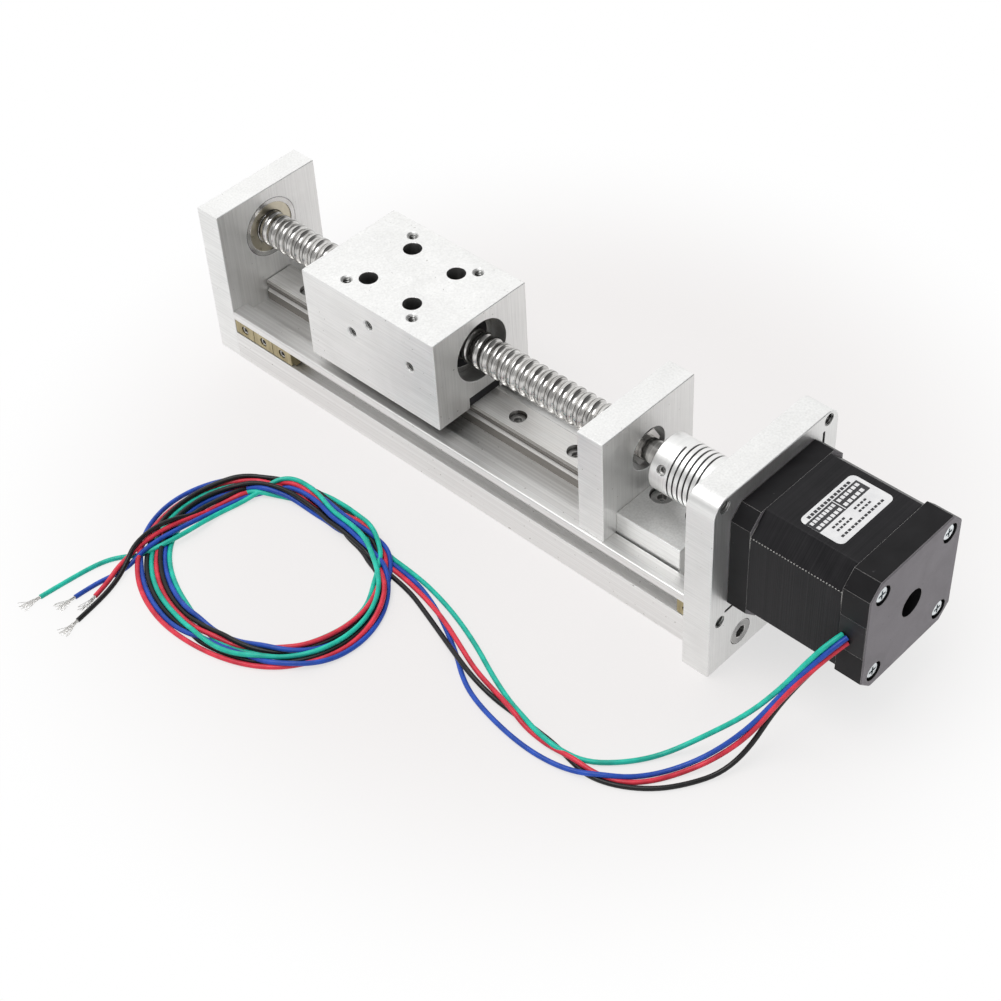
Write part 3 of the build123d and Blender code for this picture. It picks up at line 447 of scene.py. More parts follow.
def milled_aluminium():
    """Clear anodised plate, with tool lines on its sides, a speckled skin on top and painted shade in its
    holes.
    """
    made = Finish("milled_aluminium_finish", Metallic=0.88)
    across = made.noise((2200, 60, 60), detail=5)
    upright = made.noise((2300, 2300, 45), detail=5)
    level = made.noise((45, 2300, 2300), detail=5)
    skin = made.noise(1500, detail=6)
    lines = made.facing("Y", made.facing("Z", upright, skin), level)
    blotches = made.noise(70, detail=4, distortion=1.0)
    tone = made.ramp(lines, (0.25, (0.73, 0.73, 0.72)), (0.75, (0.93, 0.93, 0.92)))
    tone = made.mix(0.22, tone, made.ramp(blotches, (0.3, (0.72, 0.72, 0.71)), (0.7, (0.97, 0.97, 0.96))))
    specks = made.ramp(made.noise(820, detail=2), (0.23, 1.0), (0.27, 0.0))
    tone = made.mix(specks, tone, (0.42, 0.41, 0.39))
    rounded, edge = made.edges(0.00022)
    tone = made.mix(edge, tone, (0.97, 0.97, 0.97))
    # Painted shade: the tone is darkened inside the piece's own holes and recesses, by how hidden they lie
    tone = made.mix(1.0, tone, made.ramp(made.painted_cavity_shade(0.03), (0.08, 0.1), (0.8, 1.0)), blend="MULTIPLY")
    rough = made.ramp(lines, (0.2, 0.34), (0.8, 0.5))
    rough = made.mix(edge, rough, (0.2, 0.2, 0.2))
    heights = made.mix(0.35, lines, across)
    return made.finish(tone, rough, made.bump(heights, 0.00004, 0.35, rounded))


def extruded_aluminium():
    """Drawn profile, with fine die lines along its length."""
    made = Finish("extruded_aluminium_finish", Metallic=0.88)
    lines = made.noise((4, 1500, 1500), detail=5)
    broad = made.noise((3, 260, 260), detail=3)
    tone = made.ramp(lines, (0.3, (0.7, 0.695, 0.685)), (0.72, (0.92, 0.915, 0.905)))
    tone = made.mix(0.3, tone, made.ramp(broad, (0.35, (0.7, 0.69, 0.68)), (0.65, (0.98, 0.98, 0.97))))
    specks = made.ramp(made.noise((620, 900, 900), detail=2), (0.25, 1.0), (0.29, 0.0))
    tone = made.mix(specks, tone, (0.36, 0.34, 0.32))
    rounded, edge = made.edges(0.0003)
    tone = made.mix(edge, tone, (0.97, 0.97, 0.97))
    rough = made.ramp(lines, (0.2, 0.3), (0.8, 0.46))
    return made.finish(tone, rough, made.bump(lines, 0.00004, 0.4, rounded))


def ground_steel():
    """Hardened rail, ground along its length, with painted shade on its faces along Y and in its holes."""
    made = Finish("ground_steel_finish", Metallic=0.7)
    lines = made.noise((10, 2600, 2600), detail=4)
    film = made.noise((60, 160, 160), detail=4, distortion=0.8)
    tone = made.ramp(lines, (0.3, (0.76, 0.75, 0.73)), (0.7, (0.96, 0.95, 0.93)))
    tone = made.mix(0.25, tone, made.ramp(film, (0.35, (0.45, 0.42, 0.38)), (0.65, (0.8, 0.8, 0.78))))
    # Painted shade: the faces along Y are darkened as if they lay in shade
    sides = made.facing("Y", (1.0, 1.0, 1.0), (0.27, 0.255, 0.24))
    tone = made.mix(1.0, tone, sides, blend="MULTIPLY")
    rounded, edge = made.edges(0.0002)
    tone = made.mix(edge, tone, (0.85, 0.85, 0.84))
    # Painted shade: the tone is darkened inside the rail's own holes
    tone = made.mix(1.0, tone, made.ramp(made.painted_cavity_shade(0.006), (0.1, 0.08), (0.75, 1.0)), blend="MULTIPLY")
    rough = made.ramp(film, (0.3, 0.36), (0.7, 0.5))
    return made.finish(tone, rough, made.bump(lines, 0.00002, 0.3, rounded))


def turned(name, dark, light, rough, pitch=5200, oil=None, shoulder=None):
    """Steel or alloy turned or rolled about the screw's axis, with fine rings round it.

    A shoulder is a radius where a thin dark line lies along the edge of the track: partly oil that gathers
    there, partly painted shade.
    """
    made = Finish(name, Metallic=1.0)
    rings = made.noise((pitch, 30, 30), detail=4)
    film = made.noise(130, detail=4, distortion=0.6)
    tone = made.ramp(rings, (0.3, dark), (0.7, light))
    tone = made.mix(0.3, tone, made.ramp(film, (0.35, oil or dark), (0.65, light)))
    rounded, edge = made.edges(0.00018)
    tone = made.mix(edge, tone, tuple(min(1.0, c * 1.15) for c in light))
    if shoulder:
        # A thin dark line along the track's edge at the shoulder: partly oil, partly painted shade
        line = made.ramp(made.off_axis(shoulder), (0.972, 1.0), (0.984, 0.22), (0.993, 0.22), (0.998, 1.0))
        tone = made.mix(1.0, tone, line, blend="MULTIPLY")
    roughness = made.ramp(film, (0.25, rough), (0.75, rough + 0.14))
    return made.finish(tone, roughness, made.bump(rings, 0.00002, 0.3, rounded))


def coated(name, dark, light, rough, shine=None, worn=0.00025, rear=None, **sockets):
    """A moulded, painted or blackened surface with a fine pebbled skin and edges rubbed to a shine.

    Rear is a painted sheen: a greyer tone on the faces along X, where there is one, that stands in for the
    light they reflect.
    """
    made = Finish(name, **sockets)
    skin = made.noise(2600, detail=3)
    cloud = made.noise(90, detail=4, distortion=0.7)
    tone = made.ramp(cloud, (0.3, dark), (0.7, light))
    dust = made.ramp(made.noise(760, detail=1), (0.75, 0.0), (0.8, 0.5))
    if rear:
        # Painted sheen: the faces along X get the greyer rear tone in place of the light they reflect
        tone = made.facing("X", tone, made.ramp(cloud, (0.3, tuple(c * 0.8 for c in rear)), (0.7, rear)))
    tone = made.mix(dust, tone, tuple(min(1.0, c * 2.2 + 0.04) for c in light))
    rounded, edge = made.edges(worn)
    if shine:
        tone = made.mix(edge, tone, shine)
    roughness = made.ramp(skin, (0.25, rough), (0.75, rough + 0.12))
    return made.finish(tone, roughness, made.bump(skin, 0.00003, 0.5, rounded))


def lamination():
    """Stack of thin electrical sheets, varnished black, whose ends show as bright teeth on its long edges."""
    made = Finish("lamination_finish", Specular_IOR_Level=0.15)
    sheets = made.noise((4200, 25, 25), detail=1)
    film = made.noise((50, 90, 90), detail=4, distortion=0.8)
    tone = made.ramp(sheets, (0.3, (0.007, 0.007, 0.008)), (0.7, (0.018, 0.017, 0.019)))
    tone = made.mix(0.3, tone, made.ramp(film, (0.35, (0.006, 0.006, 0.007)), (0.7, (0.024, 0.023, 0.025))))
    rounded, edge = made.edges(0.0005, 0.94)
    teeth = made.ramp(made.waves(sheet_pair), (0.45, 0.0), (0.6, 1.0))
    band = made.ramp(made.height(bare_height), *bare_band)
    bare = made.mix(1.0, made.mix(1.0, edge, teeth, blend="MULTIPLY"), band, blend="MULTIPLY")
    tone = made.mix(bare, tone, (0.7, 0.69, 0.66))
    rough = made.ramp(film, (0.3, 0.3), (0.7, 0.44))
    return made.finish(tone, rough, made.bump(sheets, 0.00006, 0.5, rounded))


def insulation(name, colour):
    """Soft glossy PVC on a lead, with slight unevenness and a dull bloom."""
    made = Finish(name, Coat_Weight=0.06, Coat_Roughness=0.25, Specular_IOR_Level=0.3)
    cloud = made.noise(240, detail=3)
    pale = tuple(min(1.0, c * 1.22 + 0.004) for c in colour)
    deep = tuple(c * 0.78 for c in colour)
    tone = made.ramp(cloud, (0.3, deep), (0.7, pale))
    rough = made.ramp(made.noise(900, detail=2), (0.3, 0.3), (0.7, 0.44))
    return made.finish(tone, rough, made.bump(cloud, 0.00006, 0.3))


def sticker():
    """Glossy white label stock."""
    made = Finish("label_stock_finish", Coat_Weight=0.3)
    cloud = made.noise(300, detail=3)
    tone = made.ramp(cloud, (0.3, (0.7, 0.7, 0.71)), (0.7, (0.8, 0.8, 0.8)))
    rough = made.ramp(cloud, (0.3, 0.3), (0.7, 0.42))
    return made.finish(tone, rough, made.bump(cloud, 0.00003, 0.25))


def make_finishes():
    """One material for each of the record's slots."""
    return {
        "milled_aluminium": milled_aluminium(),
        "extruded_aluminium": extruded_aluminium(),
        "ground_steel": ground_steel(),
        "lamination": lamination(),
        "screw_steel": turned("screw_steel_finish", (0.22, 0.21, 0.2), (0.84, 0.83, 0.81), 0.1,
                              oil=(0.26, 0.245, 0.23), shoulder=screw_radius),
        "bearing_steel": turned("bearing_steel_finish", (0.5, 0.49, 0.48), (0.82, 0.82, 0.81), 0.16,
                                shoulder=bearing_rim),
        "shield_steel": turned("shield_steel_finish", (0.4, 0.365, 0.28), (0.68, 0.63, 0.51), 0.24,
                               pitch=400),
        "coupling_aluminium": turned("coupling_finish", (0.72, 0.72, 0.71), (0.93, 0.93, 0.92), 0.26),
        "rotor_steel": turned("rotor_steel_finish", (0.3, 0.3, 0.3), (0.5, 0.5, 0.5), 0.35),
        "zinc_screws": turned("zinc_screws_finish", (0.6, 0.64, 0.66), (0.86, 0.9, 0.92), 0.2,
                              pitch=900),
        "nut_brass": turned("nut_brass_finish", (0.26, 0.21, 0.11), (0.52, 0.45, 0.27), 0.26, pitch=900),
        "tinned_wire": turned("tinned_wire_finish", (0.55, 0.54, 0.52), (0.85, 0.84, 0.82), 0.22),
        "copper": turned("copper_finish", (0.55, 0.2, 0.1), (0.85, 0.42, 0.25), 0.3),
        "black_screws": coated("black_screws_finish", (0.24, 0.24, 0.24), (0.46, 0.455, 0.445), 0.26,
                               shine=(0.85, 0.84, 0.82), worn=0.0006, Metallic=0.9),
        "black_plastic": coated("black_plastic_finish", (0.012, 0.012, 0.013), (0.026, 0.026, 0.028), 0.36,
                                shine=(0.06, 0.06, 0.062), Specular_IOR_Level=0.16),
        # The motor's faces along X get a greyer rear tone, a painted sheen for the light they reflect
        "motor_black": coated("motor_black_finish", (0.006, 0.0056, 0.0064), (0.013, 0.0125, 0.0138), 0.36,
                              shine=(0.46, 0.45, 0.44), worn=0.0002, rear=(0.25, 0.233, 0.252),
                              Specular_IOR_Level=0.15),
        "lead_green": insulation("lead_green_finish", (0.012, 0.48, 0.36)),
        "lead_blue": insulation("lead_blue_finish", (0.014, 0.07, 0.41)),
        "lead_red": insulation("lead_red_finish", (0.66, 0.034, 0.062)),
        "lead_black": insulation("lead_black_finish", (0.008, 0.008, 0.009)),
    }


def dress_nodes(finishes):
    """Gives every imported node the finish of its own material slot."""
    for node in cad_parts.values():
        for place in node.material_slots:
            place.material = finishes[place.material.name.split(".")[0]]


def add_object(name, data):
    """Puts a mesh, a curve, a light or a camera into the scene."""
    made = bpy.data.objects.new(name, data)
    bpy.context.scene.collection.objects.link(made)
    return made


def add_piece(name, data, finish, body):
    """Puts a mesh or a curve into the scene, as a piece that rides on a body."""
    piece = add_object(name, data)
    data.materials.append(finish)
    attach(piece, body)
    return piece


def add_mesh(name, shape, finish, body, sharp=None):
    """Turns a mesh in the making into a piece, cleaned, with its faces turned outwards.

    Where sharp is given, it is shaded smooth but for edges sharper than that angle in degrees.
    """
    bmesh.ops.remove_doubles(shape, verts=shape.verts, dist=0.000002)
    bmesh.ops.dissolve_degenerate(shape, edges=shape.edges, dist=0.000001)
    bmesh.ops.recalc_face_normals(shape, faces=shape.faces)
    mesh = bpy.data.meshes.new(name)
    shape.to_mesh(mesh)
    shape.free()
    if sharp:
        mesh.shade_smooth()
        mesh.set_sharp_from_angle(angle=radians(sharp))
    return add_piece(name, mesh, finish, body)


def find_stretch(stops, place):
    """The number of the stop after a place, and the place's share of the stretch up to it."""
    after = max(1, next(number for number, stop in enumerate(stops) if stop >= place))
    return after, (place - stops[after - 1]) / (stops[after] - stops[after - 1])


def groove_profile():
    """Places along one lead of the thread and how deep the surface lies at each."""
    half = groove_width / 2
    arc_radius = (half * half + groove_depth * groove_depth) / (2 * groove_depth)
    profile = [(0.0, 0.0)]
    for index in range(groove_samples + 1):
        along = -half + groove_width * index / groove_samples
        depth = (arc_radius ** 2 - along ** 2) ** 0.5 - arc_radius + groove_depth
        profile.append((half + along + land_round, max(depth, groove_edge)))
    profile.append((groove_width + 2 * land_round, 0.0))
    return profile


def depth_at(profile, along, lead):
    """The groove's depth at a place along the thread, between the profile's points."""
    points = profile + [(lead, 0.0)]
    after, share = find_stretch([place for place, _ in points], along % lead)
    depth = points[after - 1][1]
    return depth + (points[after][1] - depth) * share


def thread_wall(shape, profile, start, end, lead, sides, point):
    """A round wall, grooved along a helix from start to end. Gives back its first and its last ring.

    Each side's points are shifted by its share of the lead. Spare turns before and after the thread make up
    for that, and their points all lie on its ends.
    """
    spare = 2
    turns = int((end - start) / lead) + 2 * spare + 1
    samples = [turn * lead + along for turn in range(turns) for along, _ in profile]
    rows = []
    for along in samples:
        row = []
        for side in range(sides):
            shift = start - spare * lead + lead * side / sides
            x = min(max(shift + along, start), end)
            row.append(point(x, depth_at(profile, x - shift, lead), side))
        rows.append(row)
    step = len(profile)
    for index in range(len(rows) - step - 1):
        for side in range(sides):
            after, row, above = side + 1, rows[index], rows[index + 1]
            last = after == sides
            here = rows[index + step][0] if last else row[after]
            there = rows[index + step + 1][0] if last else above[after]
            shape.faces.new((row[side], above[side], there, here))
    return rows[0], rows[-step - 1]


def join_rings(shape, first, second):
    """Faces between two rings of as many points."""
    for side in range(len(first)):
        after = (side + 1) % len(first)
        shape.faces.new((first[side], first[after], second[after], second[side]))


def make_screw(finish):
    """The ball screw with its rolled track, made along the helix so that the track's edges are crisp."""
    shape = bmesh.new()

    def point(x, depth, side, radius=screw_radius):
        angle = 2 * pi * side / screw_sides
        reach = radius - depth
        return shape.verts.new((x, reach * cos(angle), screw_height + reach * sin(angle)))

    def step_down(ring, x, radius):
        """Joins a ring to the next one along the screw, and returns that one."""
        outer = [point(x, 0, side, radius) for side in range(screw_sides)]
        join_rings(shape, ring, outer)
        return outer

    groove = groove_profile()
    first, last = thread_wall(shape, groove, thread_start, thread_end, screw_lead, screw_sides, point)
    start_x, start_radius = end_journal
    ring = step_down(first, thread_start, start_radius)
    ring = step_down(ring, start_x + journal_chamfer, start_radius)
    shape.faces.new(step_down(ring, start_x, start_radius - journal_chamfer))
    ring = step_down(last, thread_end, fixed_journal[1])
    ring = step_down(ring, fixed_journal[0], fixed_journal[1])
    ring = step_down(ring, fixed_journal[0], drive_journal[1])
    shape.faces.new(step_down(ring, drive_journal[0], drive_journal[1]))
    piece = add_mesh("ball_screw_thread", shape, finish, "screw", sharp=35)
    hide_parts("ball_screw")


def add_tap(shape, mouth, inward, radius, pitch, depth):
    """Adds a thin sleeve with a thread on its inside, which lines a hole from its mouth inwards."""
    across = inward.orthogonal().normalized()
    above = inward.cross(across)
    crest = tap_crest * pitch
    profile = [(share * pitch, height * crest) for share, height in tap_profile]

    def point(along, height, side):
        angle = 2 * pi * side / tap_sides
        reach = radius - tap_play - tap_wall - crest + height
        return shape.verts.new(mouth + inward * along + (across * cos(angle) + above * sin(angle)) * reach)

    first, last = thread_wall(shape, profile, tap_start, depth, pitch, tap_sides, point)
    mouth_ring = [point(tap_start, crest + tap_wall, side) for side in range(tap_sides)]
    inner_ring = [point(depth, crest + tap_wall, side) for side in range(tap_sides)]
    join_rings(shape, first, mouth_ring)
    join_rings(shape, mouth_ring, inner_ring)
    join_rings(shape, inner_ring, last)


def add_set_screw(shape, mouth, inward):
    """Adds a set screw with a hexagon socket, its face at the mouth and its point inwards."""
    across = inward.orthogonal().normalized()
    above = inward.cross(across)

    def ring(along, radius, hexagon=False):
        made = []
        for side in range(set_screw_sides):
            angle = 2 * pi * side / set_screw_sides
            reach = radius / cos((angle + pi / 6) % (pi / 3) - pi / 6) if hexagon else radius
            place = mouth + inward * along + (across * cos(angle) + above * sin(angle)) * reach
            made.append(shape.verts.new(place))
        return made

    radius, slope, length = set_screw_radius, set_screw_chamfer, set_screw_length
    rings = [ring(length, radius - slope), ring(length - slope, radius)]
    rings += [ring(slope, radius), ring(0, radius - slope)]
    rings += [ring(0, set_screw_key, True), ring(set_screw_socket, set_screw_key, True)]
    for first, second in zip(rings, rings[1:]):
        join_rings(shape, first, second)
    shape.faces.new(rings[0])
    shape.faces.new(rings[-1])


def make_set_screws(finish):
    """The set screws of the slot nuts: three in a row at the far end, and one by the motor plate."""
    low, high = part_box("slot_nuts")
    places = [low[0] + nut_pitch * (number + 0.5) for number in range(nut_row)]
    places.append(high[0] - last_nut_length / 2)
    shape = bmesh.new()
    for x in places:
        add_set_screw(shape, Vector((x, low[1] + set_screw_sink, nut_height)), Vector((0, 1, 0)))
    piece = add_mesh("slot_nut_set_screws", shape, finish, "frame", sharp=30)


def make_taps():
    """The threads in the motor plate's corner holes and in the carriage's table and side holes."""
    # The threads are darker than the plate's own aluminium: painted shade inside the holes
    finish = turned("tapped_painted_shade_finish", (0.2, 0.2, 0.195), (0.5, 0.5, 0.49), 0.24)
    low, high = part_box("carriage_block")
    middle = (low[0] + high[0]) / 2
    plate_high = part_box("motor_plate")[1]
    plate = bmesh.new()
    for y in (-plate_tap_reach, plate_tap_reach):
        for z in (screw_height - plate_tap_reach, screw_height + plate_tap_reach):
            add_tap(plate, Vector((plate_high[0], y, z)), Vector((-1, 0, 0)), *plate_tap)
    block = bmesh.new()
    for x in (middle - table_tap_reach, middle + table_tap_reach):
        for y in (-table_tap_reach, table_tap_reach):
            add_tap(block, Vector((x, y, high[2] - tap_chamfer)), Vector((0, 0, -1)), *table_tap)
    for along, rise in side_tap_places:
        mouth = Vector((middle + along, low[1] + tap_chamfer, screw_height + rise))
        add_tap(block, mouth, Vector((0, 1, 0)), *side_tap)
    rows = (("plate_hole_threads", plate, "frame"), ("carriage_hole_threads", block, "carriage"))
    for name, shape, body in rows:
        piece = add_mesh(name, shape, finish, body, sharp=30)


def turn_level(angle):
    """How high a turn lies in the coil at an angle along it, from 0 for the first."""
    for first, last, level in coil_dives:
        if first <= angle <= last:
            return level
    return (angle - coil_start) // 360


def lead_level(name, angle):
    """How high a lead lies among the four of its turn at an angle along the coil, from 0."""
    for first, last, upwards in coil_orders:
        if first <= angle <= last:
            return upwards.index(name)
    return lead_names.index(name)


def coil_points():
    """Each lead's turns as places from the coil's middle and above the floor, before they settle."""
    angles = range(coil_start, coil_end + 1, coil_step)
    turns = {}
    for rank, name in enumerate(lead_names):
        turns[name] = []
        for angle in angles:
            after, share = find_stretch(lane_angles, angle)
            share = share * share * (3 - 2 * share)
            lane = lanes[name][after - 1] * (1 - share) + lanes[name][after] * share
            oval = coil_oval * cos(2 * radians(angle - coil_oval_angle))
            spot = Vector((angle * coil_wander_pace, rank * coil_wander_apart, coil_wander_depth))
            wander = coil_wander * noise.noise(spot)
            height = lead_rest + lead_diameter * (turn_level(angle) + 1)
            turns[name].append([coil_radius + oval + lane * MM + wander, height])
        turns[name][0][1] = lead_rest
        turns[name][-1][1] = lead_lift
    return turns


def settle(turns):
    """Lets the turns press each other aside and sink, until they lie beside and on each other."""
    wanted = {name: [place[0] for place in places] for name, places in turns.items()}
    per_turn = 360 // coil_step
    stations = [[] for _ in range(per_turn)]
    for name in lead_names:
        for index, place in enumerate(turns[name]):
            angle = coil_start + index * coil_step
            order = turn_level(angle) * len(lead_names) + lead_level(name, angle)
            held = index in (0, len(turns[name]) - 1)
            stations[index % per_turn].append((order, held, place))
    for _ in range(settle_sweeps):
        for name, places in turns.items():
            before = [tuple(place) for place in places]
            for index in range(1, len(places) - 1):
                for axis in (0, 1):
                    middle = (before[index - 1][axis] + before[index + 1][axis]) / 2
                    places[index][axis] += settle_smoothing * (middle - before[index][axis])
                places[index][0] += settle_pull * (wanted[name][index] - places[index][0])
                places[index][1] -= settle_sink
        for _ in range(settle_passes):
            for station in stations:
                for number, (order, held, first) in enumerate(station):
                    for other_order, other_held, second in station[number + 1:]:
                        part_leads(first, second, held, other_held, other_order > order)
        for places in turns.values():
            for place in places:
                place[1] = max(place[1], lead_rest)
    return turns


def part_leads(first, second, first_held, second_held, second_over):
    """Pushes two leads apart at one place, if they are closer than their thickness."""
    aside = second[0] - first[0]
    up = second[1] - first[1]
    gap = (aside * aside + up * up) ** 0.5
    if gap >= settle_gap:
        return
    lift = settle_bias if second_over else -settle_bias
    push = Vector((aside, up + lift)).normalized() * (settle_gap - gap) / 2
    if not first_held:
        first[0] -= push.x
        first[1] -= push.y
    if not second_held:
        second[0] += push.x
        second[1] += push.y


def new_line(name, diameter, roundness):
    """An empty curve for round lines of a diameter with closed ends."""
    line = bpy.data.curves.new(name, "CURVE")
    line.dimensions = "3D"
    line.bevel_depth = diameter / 2
    line.bevel_resolution = roundness
    line.use_fill_caps = True
    return line


def add_spline(line, points):
    """Adds one smooth open line along points to a curve."""
    spline = line.splines.new("NURBS")
    spline.points.add(len(points) - 1)
    for place, target in zip(points, spline.points):
        target.co = (*place, 1)
    spline.order_u = 3
    spline.use_endpoint_u = True


def make_leads(finishes):
    """The four leads, each one smooth line from the outlet, through the coil, to its stripped end."""
    turns = settle(coil_points())
    for name in lead_names:
        points = list(lead_runs[name])
        for index, (reach, height) in enumerate(turns[name]):
            angle = radians(coil_start + index * coil_step)
            points.append((coil_middle.x + reach * cos(angle), coil_middle.y + reach * sin(angle), height))
        points += lead_tails[name]
        line = new_line(f"lead_{name}_wire", lead_diameter, lead_roundness)
        line.resolution_u = lead_resolution
        add_spline(line, points)
        piece = add_piece(f"lead_{name}_wire", line, finishes[f"lead_{name}"], "frame")
        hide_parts(f"lead_{name}", f"tail_{name}", "lead_coil")
        strands = make_strands(name, points, finishes["tinned_wire"])
        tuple(points[0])


def make_strands(name, points, finish):
    """The tinned strands at a lead's end, lightly twisted and fanned out by handling."""
    end, along = Vector(points[-1]), (Vector(points[-1]) - Vector(points[-2])).normalized()
    side = along.cross(Vector((0, 0, 1))).normalized()
    up = side.cross(along)
    line = new_line(f"strands_{name}", strand_diameter, strand_roundness)
    for strand in range(strand_count):
        start = 2 * pi * strand / (strand_count - 1)
        radius = 0 if strand == strand_count - 1 else strand_ring
        longer = (1 - strand_shortest) * abs(sin(strand_length_step * strand))
        reach = strand_length * (strand_shortest + longer)
        places = []
        for index in range(strand_samples + 1):
            share = index / strand_samples
            turn = start + strand_twist * share
            spread = radius * (1 + strand_fan * share * share)
            place = end + along * (reach * share - strand_overlap)
            place += side * spread * cos(turn) + up * spread * sin(turn)
            place += side * strand_bend * share * share * sin(strand_bend_step * strand + len(name))
            place.z = max(place.z, strand_diameter / 2 + floor_clearance)
            places.append(place)
        add_spline(line, places)
    piece = add_piece(f"strands_{name}", line, finish, "frame")
    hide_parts("conductor_tips")
    return piece


def add_plate(shape, low, high, bottom, top, corner):
    """Adds a thin level plate with rounded corners to a mesh in the making."""
    rims = []
    places = ((high[0], high[1]), (low[0], high[1]), (low[0], low[1]), (high[0], low[1]))
    for height in (bottom, top):
        rim = []
        for quarter, (x, y) in enumerate(places):
            centre_x = x - corner if x == high[0] else x + corner
            centre_y = y - corner if y == high[1] else y + corner
            for step in range(corner_steps + 1):
                angle = pi / 2 * (quarter + step / corner_steps)
                place = (centre_x + corner * cos(angle), centre_y + corner * sin(angle), height)
                rim.append(shape.verts.new(place))
        rims.append(rim)
    below, above = rims
    join_rings(shape, below, above)
    shape.faces.new(above)
    shape.faces.new(list(reversed(below)))


def make_label():
    """A white sticker on the motor's top, with rows of plain blocks in place of printing."""
    paper = sticker()
    ink = coated("label_ink_finish", (0.012, 0.012, 0.015), (0.024, 0.024, 0.028), 0.34)
    base = motor_top + label_lift
    sheet = bmesh.new()
    add_plate(sheet, label_low, label_high, base, base + label_thickness, label_corner)
    add_mesh("label", sheet, paper, "frame")
    prints = {"ink": bmesh.new(), "paper": bmesh.new()}
    for start, end, left, right, count, tone in label_rows:
        level = base + label_thickness + (print_thickness if tone == "paper" else 0)
        pitch = (right - left) / (count - 1 + block_share)
        for number in range(count):
            low = left + number * pitch
            high = low + pitch * block_share
            add_plate(prints[tone], (start, low), (end, high), level, level + print_thickness, print_corner)
    add_mesh("label_print", prints["ink"], ink, "frame")
    add_mesh("label_print_reversed", prints["paper"], paper, "frame")


def make_stage():
    """A white floor that keeps the object's soft shadow, and is plain white away from it."""
    mesh = bpy.data.meshes.new("floor")
    corners = [(x * floor_reach, y * floor_reach, 0) for x, y in ((-1, -1), (1, -1), (1, 1), (-1, 1))]
    mesh.from_pydata(corners, [], [(0, 1, 2, 3)])
    floor = add_object("floor", mesh)
    floor.location.z = -floor_clearance / 2
    material = bpy.data.materials.new("floor_finish")
    material.use_nodes = True
    tree = material.node_tree
    lit = tree.nodes["Principled BSDF"]
    lit.inputs["Base Color"].default_value = (*floor_tone, 1)
    lit.inputs["Roughness"].default_value = floor_roughness
    shade = add_node(tree, "ShaderNodeBsdfDiffuse")
    shade.inputs["Color"].default_value = (*floor_shade, 1)
    white = add_node(tree, "ShaderNodeEmission")
    white.inputs["Color"].default_value = (1, 1, 1, 1)
    distance = add_node(tree, "ShaderNodeVectorMath", operation="LENGTH")
    tree.links.new(add_node(tree, "ShaderNodeTexCoord").outputs["Object"], distance.inputs[0])
    share = add_node(tree, "ShaderNodeMapRange", interpolation_type="SMOOTHSTEP")
    for socket, value in zip(("From Min", "To Min", "From Max", "To Max"), (*floor_near, *floor_far)):
        share.inputs[socket].default_value = value
    tree.links.new(distance.outputs["Value"], share.inputs["Value"])

    def mixed(*sockets):
        """Two shaders mixed, from the second's share and the two."""
        mixer = add_node(tree, "ShaderNodeMixShader")
        for socket, target in zip(sockets, mixer.inputs):
            tree.links.new(socket, target)
        return mixer.outputs[0]

    shown = mixed(share.outputs["Result"], shade.outputs[0], white.outputs[0])
    blend = mixed(rays_that_see(tree), lit.outputs[0], shown)
    tree.links.new(blend, tree.nodes["Material Output"].inputs["Surface"])
    mesh.materials.append(material)


def rays_that_see(tree):
    """1 for what the camera sees, in metal and through glass too, and 0 for light on its way."""
    path = add_node(tree, "ShaderNodeLightPath")
    total = path.outputs["Is Camera Ray"]
    for name in ("Is Glossy Ray", "Is Transmission Ray"):
        larger = add_node(tree, "ShaderNodeMath", operation="MAXIMUM")
        tree.links.new(total, larger.inputs[0])
        tree.links.new(path.outputs[name], larger.inputs[1])
        total = larger.outputs[0]
    return total


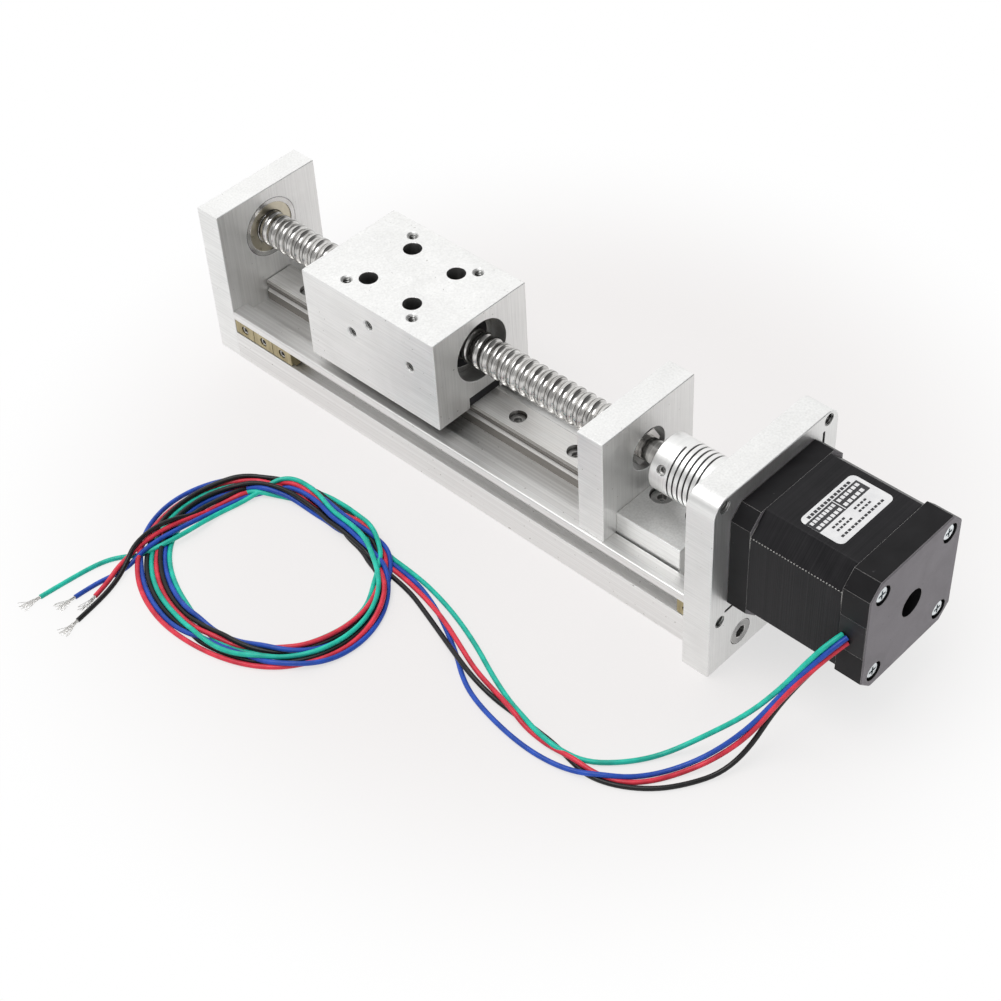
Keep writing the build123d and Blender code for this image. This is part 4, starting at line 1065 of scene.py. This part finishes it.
def make_world():
    """Soft studio light, bright behind the object, dark high on its right, and white at the horizon."""
    world = bpy.data.worlds.new("studio")
    bpy.context.scene.world = world
    world.use_nodes = True
    tree = world.node_tree
    place = add_node(tree, "ShaderNodeTexCoord")

    def graded(direction, span, levels):
        """A grey level that goes from one level to another over a span of the cosine to a direction."""
        cosine = add_node(tree, "ShaderNodeVectorMath", operation="DOT_PRODUCT")
        cosine.inputs[1].default_value = direction
        tree.links.new(place.outputs["Generated"], cosine.inputs[0])
        ramp = add_node(tree, "ShaderNodeValToRGB")
        ramp.color_ramp.interpolation = "EASE"
        for element, value, level in zip(ramp.color_ramp.elements, span, levels):
            element.position = value
            element.color = (level, level, level, 1)
        tree.links.new(cosine.outputs["Value"], ramp.inputs["Fac"])
        return ramp.outputs["Color"]

    light = add_node(tree, "ShaderNodeVectorMath", operation="MULTIPLY")
    tree.links.new(graded(bright_side, bright_span, (world_fill, world_bright)), light.inputs[0])
    tree.links.new(graded(dark_side, dark_span, (1.0, world_dark)), light.inputs[1])
    horizon = graded((0, 0, 1), world_horizon, (1.0, 0.0))
    room = mix_colours(tree, horizon, light.outputs["Vector"], (1, 1, 1))
    tree.links.new(room, tree.nodes["Background"].inputs["Color"])


def make_lamp():
    """A square soft box over the stage, which faces its middle."""
    lamp = bpy.data.lights.new("lamp_over", "AREA")
    lamp.size = lamp_size
    lamp.energy = lamp_power
    holder = add_object("lamp_over", lamp)
    holder.location = lamp_place
    holder.rotation_euler = (-Vector(lamp_place)).to_track_quat("-Z", "Y").to_euler()


def make_camera():
    """The photograph's viewpoint, from its azimuth, elevation and roll."""
    lens = bpy.data.cameras.new("camera")
    lens.lens = camera_lens
    lens.sensor_width = camera_sensor
    lens.clip_start = camera_near
    camera = add_object("camera", lens)
    azimuth, elevation, roll = (radians(a) for a in (camera_azimuth, camera_elevation, camera_roll))
    back = Vector((sin(azimuth) * cos(elevation), -cos(azimuth) * cos(elevation), sin(elevation)))
    level = Vector((cos(azimuth), sin(azimuth), 0))
    upright = back.cross(level)
    right = level * cos(roll) + upright * sin(roll)
    turned_frame = Matrix((right, back.cross(right), back)).transposed()
    camera.matrix_world = Matrix.Translation(camera_place) @ turned_frame.to_4x4()
    bpy.context.scene.camera = camera


finishes = make_finishes()
dress_nodes(finishes)
make_screw(finishes["screw_steel"])
make_taps()
make_set_screws(finishes["black_screws"])
make_leads(finishes)
make_label()
make_stage()
make_world()
make_camera()
make_lamp()
bpy.context.scene.view_settings.view_transform = "Standard"
